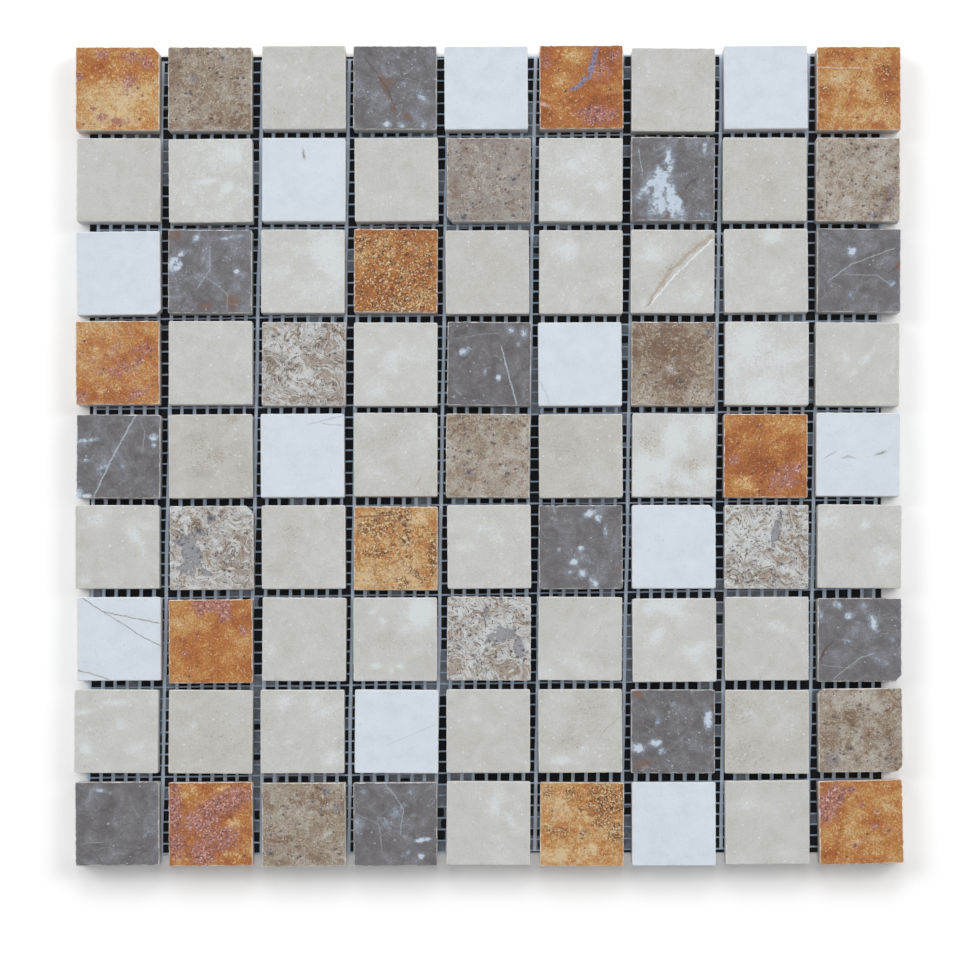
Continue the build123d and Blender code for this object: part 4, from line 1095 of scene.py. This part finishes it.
def net(told, size, bend, width, mark, most=1.0):
    """Seams around rounded grains of a size in millimetres, as far as a mask shows them."""
    tree = told["tree"]
    sway = add(tree, "ShaderNodeTexNoise", {"Vector": told["grain"], "Scale": 1 / size, "Detail": 2.0})
    bent = add(tree, "ShaderNodeVectorMath", {
        0: sway.outputs["Color"], 1: (bend, bend, bend), 2: told["grain"]}, operation="MULTIPLY_ADD")
    cells = add(tree, "ShaderNodeTexVoronoi", {"Vector": bent.outputs[0], "Scale": 1 / size},
                feature="DISTANCE_TO_EDGE")
    seam = add(tree, "ShaderNodeMapRange", {0: cells.outputs["Distance"], 1: width, 2: width * 0.3, 4: most},
               interpolation_type="SMOOTHSTEP")
    return add(tree, "ShaderNodeMath", {0: seam.outputs[0], 1: mark}, operation="MULTIPLY").outputs[0]


# %% [markdown]
# At the end comes what all tumbled chips share. Their pits are painted dark, which is painted shade in
# the hollows. Their flanks are painted a pale grey, partly the dust of sawing and glue and partly painted
# light that brightens the sides. Their arrises get a thin pale line, partly a bruise and partly a painted
# highlight, but not inside a pit, whose wall slopes just as an arris does.

# %% What all chips share
# The flank colour is partly dust and partly painted light that lightens the sides.
FLANK_DUST_AND_PAINTED_LIGHT = 0.6
DUST_AND_PAINTED_LIGHT_COLOUR = "#dddcdb"
# The arris colour is partly a bruise and partly a painted highlight.
BRUISE_AND_HIGHLIGHT_COLOUR = "#efece7"
STONE_GLOSS = 0.2
RELIEF_STRENGTH = 0.6


def finish_stone(told, bruise_and_highlight, pit_shade_colour, roughness, relief):
    """Painted shade in the pits, dust and painted light on the flanks, a bruise and painted highlight on the
    arrises, and a fine relief, in millimetres, over the stone's own colour.
    """
    tree = told["tree"]
    surface = tree.nodes["Principled BSDF"]
    # Painted shade: the pits are darkened as deep as they are pressed in.
    paint(told, told["pit"], pit_shade_colour)
    normal = add(tree, "ShaderNodeNewGeometry").outputs["Normal"]
    up = add(tree, "ShaderNodeSeparateXYZ", {0: normal}).outputs["Z"]
    # Partly dust, partly painted light: the upright flanks are painted a pale grey, which lightens the sides.
    flank = add(tree, "ShaderNodeMapRange", {0: up, 1: 0.5, 2: 0.1, 3: 0.0, 4: FLANK_DUST_AND_PAINTED_LIGHT},
                interpolation_type="SMOOTHSTEP")
    paint(told, flank.outputs[0], DUST_AND_PAINTED_LIGHT_COLOUR)
    # Partly a bruise, partly a painted highlight: a thin pale line along the tilted arris, left out in the
    # pits.
    wear_and_highlight_tilt = add(tree, "ShaderNodeMath", {0: told["sand"], 1: 0.2, 2: up}, operation="MULTIPLY_ADD")
    edge = add(tree, "ShaderNodeMapRange", {0: wear_and_highlight_tilt.outputs[0], 1: 1.07, 2: 0.95},
               interpolation_type="SMOOTHSTEP")
    below = add(tree, "ShaderNodeMapRange", {0: up, 1: 0.2, 2: 0.55, 4: bruise_and_highlight})
    edge = add(tree, "ShaderNodeMath", {0: edge.outputs[0], 1: below.outputs[0]}, operation="MULTIPLY")
    flat = add(tree, "ShaderNodeMapRange", {0: told["pit"], 1: 0.0, 2: 0.05, 3: 1.0, 4: 0.0})
    edge = add(tree, "ShaderNodeMath", {0: edge.outputs[0], 1: flat.outputs[0]}, operation="MULTIPLY")
    paint(told, edge.outputs[0], BRUISE_AND_HIGHLIGHT_COLOUR)
    bump = add(tree, "ShaderNodeBump", {
        "Height": told["sand"], "Strength": RELIEF_STRENGTH, "Distance": relief * MM})
    tree.links.new(told["colour"], surface.inputs["Base Color"])
    tree.links.new(bump.outputs[0], surface.inputs["Normal"])
    surface.inputs["Roughness"].default_value = roughness
    surface.inputs["Specular IOR Level"].default_value = STONE_GLOSS
    print(told["material"].name, len(tree.nodes), "nodes")
    return told["material"]


# %% [markdown]
# ### Honed cream marble
# A fine, even limestone marble. Honing leaves it matt, so the eye gets soft warm clouds over a pale ground,
# with a few white flecks of calcite and brown specks of iron.

# %% Honed cream marble
told = start_stone("honed_cream_marble")
ground(told, 8, 0.8, (0.38, -0.2, -0.3), (0.1, -0.12, 0.0), 1.1, (
    (0.0, "#aeaaa3"), (0.3, "#b9b8b3"), (0.5, "#bfbfbc"), (0.7, "#c5c6c4"), (0.95, "#cfd4d6")))
paint(told, flakes(told, 3.0, 1.0, 0.6, 0.72, told["pale"], 0.1, 0.5), "#ced4d7")
paint(told, flakes(told, 0.8, 0.4, 0.67, 0.72, told["dark"], 0.24, 0.55), "#94836f")
paint(told, specks(told, 1.5, 0.3, 0.05, told["pale"], 0.1, 0.65), "#d9dee2")
paint(told, specks(told, 1.1, 0.3, 0.04, told["dark"], 0.1, 0.4), "#968d84")
paint(told, told["on_a"], "#dde2e6")
paint(told, told["on_c"], "#a3968a")
# Here its arrises get the strength of their bruise and painted highlight, and its pits their painted shade.
cream_marble = finish_stone(told, 0.85, "#8d857b", 0.55, 0.04)

# %% [markdown]
# ### Sawn white limestone
# A chalky, almost even white with a cool cast and a fine grain of pores. What breaks it are tiny fossil
# dashes and, in one chip, fine brown cracks.

# %% Sawn white limestone
told = start_stone("sawn_white_limestone")
ground(told, 6, 0.3, (0.1, -0.2, 0.0), (0.03, -0.03, 0.0), 0.9, (
    (0.25, "#c8d0d7"), (0.5, "#ced6df"), (0.75, "#d3dce5")))
paint(told, specks(told, 1.3, 0.28, 0.05, most=0.4), "#b3b1aa")
paint(told, specks(told, 0.9, 0.3, 0.14, most=0.4), "#bdc4cb")
for line in ("on_a", "on_b", "on_c"):
    paint(told, told[line], "#857f79")
# Here its arrises get the strength of their bruise and painted highlight, and its pits their painted shade.
white_limestone = finish_stone(told, 0.7, "#8d857b", 0.65, 0.04)

# %% [markdown]
# ### Honed grey marble
# Dark, slightly brown grey, clouded by finer and coarser mud, with bluish calcite that has filled cracks
# and hollows. It is half clear where it is thin and white where it is thick, and thin wisps of it run out
# of the white. Hairlines and flecks are scattered all over.

# %% Honed grey marble
told = start_stone("honed_grey_marble")
ground(told, 6, 0.6, (0.1, -0.06, 0.0), (0.05, 0.0, 0.0), 0.6, (
    (0.2, "#565352"), (0.4, "#656366"), (0.53, "#6f6e72"), (0.66, "#7d7e85"), (0.85, "#959ba4")))
paint(told, ragged(told, "dark", 0.3, 0.9, 0.75), "#775c4e")
paint(told, flakes(told, 1.4, 0.6, 0.58, 0.7, most=0.55), "#585452")
paint(told, flakes(told, 2.2, 1.2, 0.62, 0.72, told["crust"], 0.08, 0.5), "#8d949d")
paint(told, veins(told, 14.0, 1.0, 0.014, 0.48, 0.62, told["crust"], 0.1, 0.5), "#98a1ab")
paint(told, veins(told, 9.0, 0.8, 0.012, 0.52, 0.66, most=0.45), "#544f4d")
paint(told, specks(told, 1.2, 0.3, 0.025, told["crust"], 0.3, 0.75), "#b0b8c0")
paint(told, veins(told, 6.0, 1.2, 0.03, 0.72, 0.85, told["pale"], 0.35, 0.7), "#a3afbe")
paint(told, ragged(told, "pale", 0.25, 0.85, 0.6), "#8f9cab")
paint(told, ragged(told, "pale", 0.65, 1.15), "#bdc9d6")
paint(told, told["on_a"], "#a9b1b9")
paint(told, told["on_b"], "#979ea6")
paint(told, told["on_c"], "#564b46")
# Here its arrises get the strength of their bruise and painted highlight, and its pits their painted shade.
grey_marble = finish_stone(told, 0.85, "#4c4848", 0.45, 0.05)

# %% [markdown]
# ### Tumbled gold travertine
# Iron in the spring water that laid this stone down went from honey to rust. Smooth honey fields lie beside
# granular crusts. In the warmer chips these are rose and purple brown, with lilac and dark grains. In the
# cooler ones they are burnt brown, with a net of dark seams and pale grains between.

# %% Tumbled gold travertine
told = start_stone("tumbled_gold_travertine")
ground(told, 7, 0.6, (0.2, -0.18, 0.0), (0.06, 0.0, 0.0), 1.0, (
    (0.1, "#76462e"), (0.3, "#925833"), (0.43, "#a4693c"),
    (0.55, "#b07b48"), (0.67, "#b89360"), (0.85, "#c7b190")))
crust = ragged(told, "crust", 0.1, 0.8)
rosy = add(told["tree"], "ShaderNodeMapRange", {0: told["warm"], 1: -0.3, 2: 0.3})
rose = add(told["tree"], "ShaderNodeMath", {0: crust, 1: rosy.outputs[0]}, operation="MULTIPLY").outputs[0]
burnt = add(told["tree"], "ShaderNodeMath", {0: crust, 1: rose}, operation="SUBTRACT").outputs[0]
paint(told, flakes(told, 1.9, 0.6, 0.6, 0.64, told["dark"], 0.12, 0.45), "#a5572a")
paint(told, flakes(told, 1.1, 0.4, 0.6, 0.66, most=0.4), "#c98b45")
paint(told, flakes(told, 1.3, 0.5, 0.62, 0.66, told["pale"], 0.1, 0.6), "#d4bb8c")
paint(told, flakes(told, 0.95, 0.4, 0.66, 0.7, told["dark"], 0.12, 0.55), "#7d4829")
paint(told, flakes(told, 2.2, 0.6, 0.58, 0.76, rose, 0.3, 0.7), "#965f4f")
paint(told, net(told, 0.9, 0.9, 0.15, rose, 0.4), "#b98f8b")
paint(told, flakes(told, 0.75, 0.3, 0.66, 0.7, rose, 0.13, 0.85), "#cba5a3")
paint(told, flakes(told, 0.85, 0.3, 0.67, 0.71, rose, 0.15, 0.8), "#664444")
paint(told, net(told, 1.4, 0.9, 0.16, burnt, 0.85), "#6e4228")
paint(told, flakes(told, 1.5, 0.5, 0.67, 0.72, burnt, 0.15, 0.75), "#64402b")
paint(told, flakes(told, 0.85, 0.3, 0.69, 0.73, burnt, 0.14, 0.75), "#47302b")
paint(told, flakes(told, 0.75, 0.3, 0.66, 0.7, burnt, 0.12, 0.75), "#e0cda6")
paint(told, told["on_a"], "#cdb0a2")
paint(told, told["on_b"], "#8586a0")
paint(told, flakes(told, 0.9, 0.4, 0.66, 0.72, told["on_b"], 0.18, 0.8), "#545468")
paint(told, told["on_c"], "#5f4a49")
# Here its arrises get the strength of their bruise and painted highlight, and its pits their painted shade.
gold_travertine = finish_stone(told, 0.9, "#5d413a", 0.5, 0.07)

# %% [markdown]
# ### Tumbled brown travertine
# Taupe stone full of small holes, which show as bluish dark dots, over granular lighter and darker mud.
# Thin dark and pale veins follow its folded beds. One chip is greyer than the rest.

# %% Tumbled brown travertine
told = start_stone("tumbled_brown_travertine")
ground(told, 6, 0.8, (0.16, -0.15, 0.0), (0.08, 0.0, 0.0), 0.8, (
    (0.2, "#6b574a"), (0.38, "#857465"), (0.5, "#968a7d"), (0.63, "#a49d93"), (0.85, "#b8b4ae")))
grey = add(told["tree"], "ShaderNodeMapRange", {0: told["warm"], 1: -0.4, 2: -1.0, 4: 0.6})
paint(told, grey.outputs[0], "#918f90")
paint(told, flakes(told, 2.0, 0.8, 0.58, 0.63, told["dark"], 0.14, 0.6), "#775f4c")
paint(told, flakes(told, 1.5, 0.6, 0.6, 0.66, told["pale"], 0.12, 0.6), "#b8b0a3")
paint(told, veins(told, 4.0, 1.0, 0.02, 0.5, 0.58, told["dark"], 0.16, 0.6, along="bedding"), "#6d5442")
paint(told, veins(told, 3.5, 1.0, 0.03, 0.47, 0.56, told["pale"], 0.2, 0.55, along="bedding"), "#b9b4ab")
crust = ragged(told, "crust", 0.4, 0.8, 0.5)
paint(told, crust, "#7f7c83")
paint(told, flakes(told, 0.85, 0.2, 0.66, 0.71, crust, 0.15, 0.85), "#554b4b")
paint(told, specks(told, 0.9, 0.36, 0.06, told["dark"], 0.12, 0.85), "#6d5340")
paint(told, specks(told, 1.5, 0.34, 0.12, crust, 0.4, 0.95), "#5a5963")
paint(told, specks(told, 0.8, 0.4, 0.06, told["pale"], 0.2, 0.8), "#c8c3ba")
# Here its arrises get the strength of their bruise and painted highlight, and its pits their painted shade.
brown_travertine = finish_stone(told, 0.85, "#4f494c", 0.6, 0.06)

# %% [markdown]
# ### Tumbled mottled travertine
# The same spring stone with less mud: brown and pale flakes and dark veins swirl along its folded beds.
# Dark pores and smooth grey patches, which are later fill, break them.

# %% Tumbled mottled travertine
told = start_stone("tumbled_mottled_travertine")
ground(told, 5, 0.6, (0.16, -0.14, 0.0), (0.06, 0.0, 0.0), 0.7, (
    (0.2, "#8a7f77"), (0.38, "#a19b96"), (0.5, "#b1b0ae"), (0.62, "#bdbfc0"), (0.82, "#cacfd2")))
paint(told, flakes(told, 2.6, 1.0, 0.55, 0.6, told["dark"], 0.12, 0.65, 0.55, along="bedding"), "#93826f")
paint(told, flakes(told, 1.9, 0.9, 0.55, 0.59, told["pale"], 0.1, 0.75, 0.55, along="bedding"), "#c9cbca")
paint(told, veins(told, 4.0, 1.0, 0.022, 0.42, 0.5, told["dark"], 0.14, 0.85, along="bedding"), "#76624f")
paint(told, ragged(told, "crust", 0.35, 0.5, 0.8), "#6e7078")
paint(told, ragged(told, "crust", 0.5, 0.7, 0.85), "#93959a")
paint(told, veins(told, 2.4, 0.8, 0.022, 0.46, 0.54, told["dark"], 0.12, 0.85, along="bedding"), "#5f5450")
paint(told, flakes(told, 1.0, 0.5, 0.64, 0.67, told["dark"], 0.08, 0.9, 0.5), "#57504f")
paint(told, specks(told, 0.95, 0.36, 0.08, told["dark"], 0.06, 0.95), "#413d44")
# Here its arrises get the strength of their bruise and painted highlight, and its pits their painted shade.
mottled_travertine = finish_stone(told, 0.75, "#4a464b", 0.6, 0.06)

# %% [markdown]
# ## The six stones
# Each stone becomes one piece. The chips of the travertines need a finer face than the marbles, because
# their pits are cut into it. The many cream chips are split over two pieces, in a chequer. A line below
# gives a piece's stone, the squares along a face, the depth of its bites in millimetres and its chequer
# fields.

# %% Lay the stones
for name, slot, cells, nibble, chequer, finish in (
    ("cream_chips_a", "cream_marble", 34, 0.04, (0,), cream_marble),
    ("cream_chips_b", "cream_marble", 34, 0.04, (1,), cream_marble),
    ("white_chips", "white_limestone", 34, 0.04, (0, 1), white_limestone),
    ("grey_chips", "grey_marble", 48, 0.07, (0, 1), grey_marble),
    ("gold_chips", "gold_travertine", 64, 0.08, (0, 1), gold_travertine),
    ("brown_chips", "brown_travertine", 64, 0.07, (0, 1), brown_travertine),
    ("mottled_chips", "mottled_travertine", 64, 0.08, (0, 1), mottled_travertine),
):
    piece = lay_stone(name, slot + "_chips", cells, nibble * MM, chequer)
    piece.data.materials.append(finish)

# %% [markdown]
# ## The mesh
# The chips are glued on a mesh of glass-fibre yarns: broad flat ones up the columns, lying on thin ones
# along the rows. The broad ones are loose rovings and look paler. The thin ones are twisted, and their
# darker colour is partly painted shade, as they lie under the broad ones. A coating holds the filaments
# together, so the eye gets bluish white streaks along the yarn with a soft gloss.

# %% Coated glass-fibre yarn
FILAMENTS = (5.0, 0.35, 1.0)
FILAMENT_RELIEF = 0.05 * MM


def yarn_finish(name, stops):
    """Fine filaments along a yarn, in a ramp of bluish whites."""
    made = bpy.data.materials.new(name)
    made.use_nodes = True
    tree = made.node_tree
    surface = tree.nodes["Principled BSDF"]
    lay = add(tree, "ShaderNodeAttribute", attribute_name="lay").outputs["Vector"]
    threads = add(tree, "ShaderNodeVectorMath", {0: lay, 1: FILAMENTS}, operation="MULTIPLY")
    filaments = add(tree, "ShaderNodeTexNoise", {"Vector": threads.outputs[0], "Scale": 1.0, "Detail": 3.0})
    colour = shade(add(tree, "ShaderNodeValToRGB", {0: filaments.outputs["Fac"]}), stops)
    bump = add(tree, "ShaderNodeBump", {
        "Height": filaments.outputs["Fac"], "Strength": 0.5, "Distance": FILAMENT_RELIEF})
    tree.links.new(colour, surface.inputs["Base Color"])
    tree.links.new(bump.outputs[0], surface.inputs["Normal"])
    surface.inputs["Roughness"].default_value = 0.45
    return made


broad_finish = yarn_finish("coated_glass_fibre_roving", (
    (0.3, "#c4d6ec"), (0.5, "#d4e4f6"), (0.7, "#e4effb")))
# Partly painted shade: the thin yarns are painted darker than the broad ones, which lie over them.
thin_finish = yarn_finish("coated_glass_fibre_twist", (
    (0.3, "#a6bcd8"), (0.5, "#b8cde6"), (0.7, "#cadcf0")))
print("yarn finishes", broad_finish.name, thin_finish.name)

# %% [markdown]
# A yarn starts as a cylinder that is flattened and cut into short lengths. Each copy wanders a little,
# swells and narrows, as loose bundles of filaments do.

# %% Yarns
YARN_SIDES = 8
YARN_WANDER = 0.12 * MM
YARN_SWELL = 0.12
YARN_WAVES = np.array([9, 17, 41]) * MM
SWELL_PACE = 2.3
YARN_OFFSET = 300
ROUND = math.radians(60)


def blank_yarn(width, thickness, length, cuts):
    """A flattened, cut up cylinder along Y, around the origin."""
    bpy.ops.object.select_all(action="DESELECT")
    bpy.ops.mesh.primitive_cylinder_add(vertices=YARN_SIDES, radius=0.5, depth=length)
    yarn = bpy.context.object
    bpy.ops.object.mode_set(mode="EDIT")
    bpy.ops.mesh.select_all(action="SELECT")
    bpy.ops.transform.resize(value=(width, thickness, 1))
    bpy.ops.transform.rotate(value=math.pi / 2, orient_axis="X", center_override=(0, 0, 0))
    bpy.ops.mesh.select_all(action="DESELECT")
    bpy.ops.object.mode_set(mode="OBJECT")
    bpy.context.tool_settings.mesh_select_mode = (False, True, False)
    for edge in yarn.data.edges:
        a, b = (yarn.data.vertices[i].co for i in edge.vertices)
        edge.select = abs(a.y - b.y) > length / 2
    bpy.ops.object.mode_set(mode="EDIT")
    bpy.ops.mesh.subdivide(number_cuts=cuts)
    bpy.ops.object.mode_set(mode="OBJECT")
    bpy.context.tool_settings.mesh_select_mode = (True, False, False)
    return yarn


def lay_yarns(name, node, up, cuts, seed, finish):
    """A set of yarns, up the columns or along the rows, as one joined piece, and their middles and turns."""
    solids = sorted(solids_of(node), key=lambda solid: solid[0][0 if up else 1])
    across, along = (0, 1) if up else (1, 0)
    size = 2 * solids[0][2].max(0)
    blank = blank_yarn(size[across], size[2], size[along], cuts)
    dice = np.random.default_rng(seed)
    copies = []
    for middle, turn, own in solids:
        yarn = blank.copy()
        yarn.data = blank.data.copy()
        bpy.context.collection.objects.link(yarn)
        points = np.array([v.co for v in yarn.data.vertices])
        attribute(yarn.data, "lay", points / MM + dice.uniform(-YARN_OFFSET, YARN_OFFSET, 3))
        wave = points[:, 1, None] / YARN_WAVES + dice.uniform(0, math.tau, 3)
        swell = 1 + YARN_SWELL * np.sin(SWELL_PACE * wave[:, 0]) * np.sin(wave[:, 2])
        points[:, 0] = points[:, 0] * swell + YARN_WANDER * np.sin(wave).mean(1) * 2
        yarn.data.vertices.foreach_set("co", points.astype(np.float32).ravel())
        yarn.location = middle
        yarn.rotation_euler.z = turn if up else turn - math.pi / 2
        copies.append(yarn)
    bpy.data.objects.remove(blank)
    only(*copies)
    bpy.ops.object.join()
    piece = bpy.context.object
    piece.name = name
    piece.data.name = name
    bpy.ops.object.transform_apply(location=True, rotation=True, scale=True)
    bpy.ops.object.shade_smooth_by_angle(angle=ROUND)
    piece.data.materials.clear()
    piece.data.materials.append(finish)
    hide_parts(node)
    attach(piece, "root")
    print(name, len(copies), "yarns", len(piece.data.polygons), "faces")
    return [(middle, turn) for middle, turn, own in solids]


BROAD_CUTS, BROAD_SEED = 110, 21
THIN_CUTS, THIN_SEED = 100, 22
broad = lay_yarns("broad_yarns", "mesh_broad_yarns", True, BROAD_CUTS, BROAD_SEED, broad_finish)
thin = lay_yarns("thin_yarns", "mesh_thin_yarns", False, THIN_CUTS, THIN_SEED, thin_finish)

# %% [markdown]
# ## Glue between the yarns
# The chips were pressed into a thin glue. Where there was plenty, it has run into the cells of the mesh
# beside the chips and dried there as a film. Over the dark it shows as a clouded blue grey with a slight
# gloss.

# %% Dried glue
GLUE_CLOUDS = 2.5 * MM
glue = bpy.data.materials.new("dried_dispersion_glue")
glue.use_nodes = True
tree = glue.node_tree
surface = tree.nodes["Principled BSDF"]
place = add(tree, "ShaderNodeTexCoord").outputs["Object"]
cloudy = add(tree, "ShaderNodeTexNoise", {"Vector": place, "Scale": 1 / GLUE_CLOUDS, "Detail": 4.0})
colour = shade(add(tree, "ShaderNodeValToRGB", {0: cloudy.outputs["Fac"]}), (
    (0.3, "#424b59"), (0.5, "#56616f"), (0.7, "#707d8c")))
tree.links.new(colour, surface.inputs["Base Color"])
surface.inputs["Roughness"].default_value = 0.35
print(glue.name, len(tree.nodes), "nodes")

# %% [markdown]
# Some cells of the mesh are closed by the film, in others it clings to one end with a hollow edge. No
# primitive follows the skewed cells, so each film is laid out as a small grid between its four crossings.
# All of them become one mesh, and a Solidify modifier gives it its thickness. Two noises, in patches of
# about 26 and 7 mm, say where the glue was plenty.

# %% Films
GLUE_SEED = 5
FILM_CELLS = 4
FILM_Z = 0.22 * MM
FILM_SAG = 0.12 * MM
FILM_THICKNESS = 0.08 * MM
UNDER_CHIP = -0.3 * MM
CELL_PROBES = np.array(((0, 0), (1, 0), (-1, 0), (0, 1), (0, -1))) * 1.6 * MM
PATCHES_PER_M, PATCH_SLICE = 38, 3.7
DRIPS_PER_M, DRIP_SLICE = 150, 9.1
DRIP_SHARE = 0.5
WET_LEAST = 0.25
WET_FULL = 0.4
FULL_CHANCE = 0.4
CLINGING = (0.25, 0.6)
HOLLOW = 0.3
LEAST_FILM = 0.05
film_dice = np.random.default_rng(GLUE_SEED)


def crossing(one, other):
    """Where a broad and a thin yarn cross."""
    (bx, by, bz), lean = one
    (tx, ty, tz), rise = other
    along = (math.cos(rise), math.sin(rise))
    up = (-math.sin(lean), math.cos(lean))
    run = ((bx - tx) * up[1] - (by - ty) * up[0]) / (along[0] * up[1] - along[1] * up[0])
    return np.array((tx + run * along[0], ty + run * along[1]))


def in_joint(point):
    """Whether a point lies in the joints, or only just under a chip."""
    off = np.abs(spread[:, :2] - point).max(1)
    return off.min() > CHIP_SIDE / 2 + UNDER_CHIP


def wetness(x, y):
    """How much glue there was at a point."""
    patch = noise.noise(Vector((x * PATCHES_PER_M, y * PATCHES_PER_M, PATCH_SLICE)))
    drip = noise.noise(Vector((x * DRIPS_PER_M, y * DRIPS_PER_M, DRIP_SLICE)))
    return patch + DRIP_SHARE * drip


film_points, film_faces = [], []
for i in range(len(broad) - 1):
    for j in range(len(thin) - 1):
        corners = [crossing(broad[i + a], thin[j + b]) for a, b in ((0, 0), (1, 0), (1, 1), (0, 1))]
        middle = sum(corners) / 4
        if not any(in_joint(middle + probe) for probe in CELL_PROBES):
            continue
        wet = wetness(*middle)
        chance = film_dice.uniform()
        if wet < WET_LEAST:
            continue
        full = wet > WET_FULL or chance < FULL_CHANCE
        end = film_dice.integers(0, 4)
        reach = 1.0 if full else film_dice.uniform(*CLINGING)
        first = len(film_points)
        for v in range(FILM_CELLS + 1):
            for u in range(FILM_CELLS + 1):
                s, t = u / FILM_CELLS, v / FILM_CELLS
                hollow = 0 if full else HOLLOW * (1 - (2 * s - 1) ** 2)
                t = t * max(reach - hollow * reach, LEAST_FILM)
                for _ in range(end):
                    s, t = 1 - t, s
                spot = corners[0] * (1 - s) * (1 - t) + corners[1] * s * (1 - t)
                spot = spot + corners[2] * s * t + corners[3] * (1 - s) * t
                sag = FILM_SAG * 16 * s * (1 - s) * t * (1 - t)
                film_points.append((spot[0], spot[1], FILM_Z - sag))
        for v in range(FILM_CELLS):
            for u in range(FILM_CELLS):
                a = first + v * (FILM_CELLS + 1) + u
                film_faces.append((a, a + 1, a + FILM_CELLS + 2, a + FILM_CELLS + 1))
film_mesh = bpy.data.meshes.new("glue_films")
film_mesh.from_pydata(film_points, [], film_faces)
films = bpy.data.objects.new("glue_films", film_mesh)
bpy.context.collection.objects.link(films)
only(films)
thicken = films.modifiers.new("thickness", "SOLIDIFY")
thicken.thickness = FILM_THICKNESS
bpy.ops.object.modifier_apply(modifier="thickness")
bpy.ops.object.shade_smooth_by_angle(angle=math.radians(40))
films.data.materials.append(glue)
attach(films, "root")
print("glue films", len(film_faces) // FILM_CELLS ** 2)

# %% [markdown]
# ## The end
# The selection is cleared.

# %% Finish
bpy.ops.object.select_all(action="DESELECT")
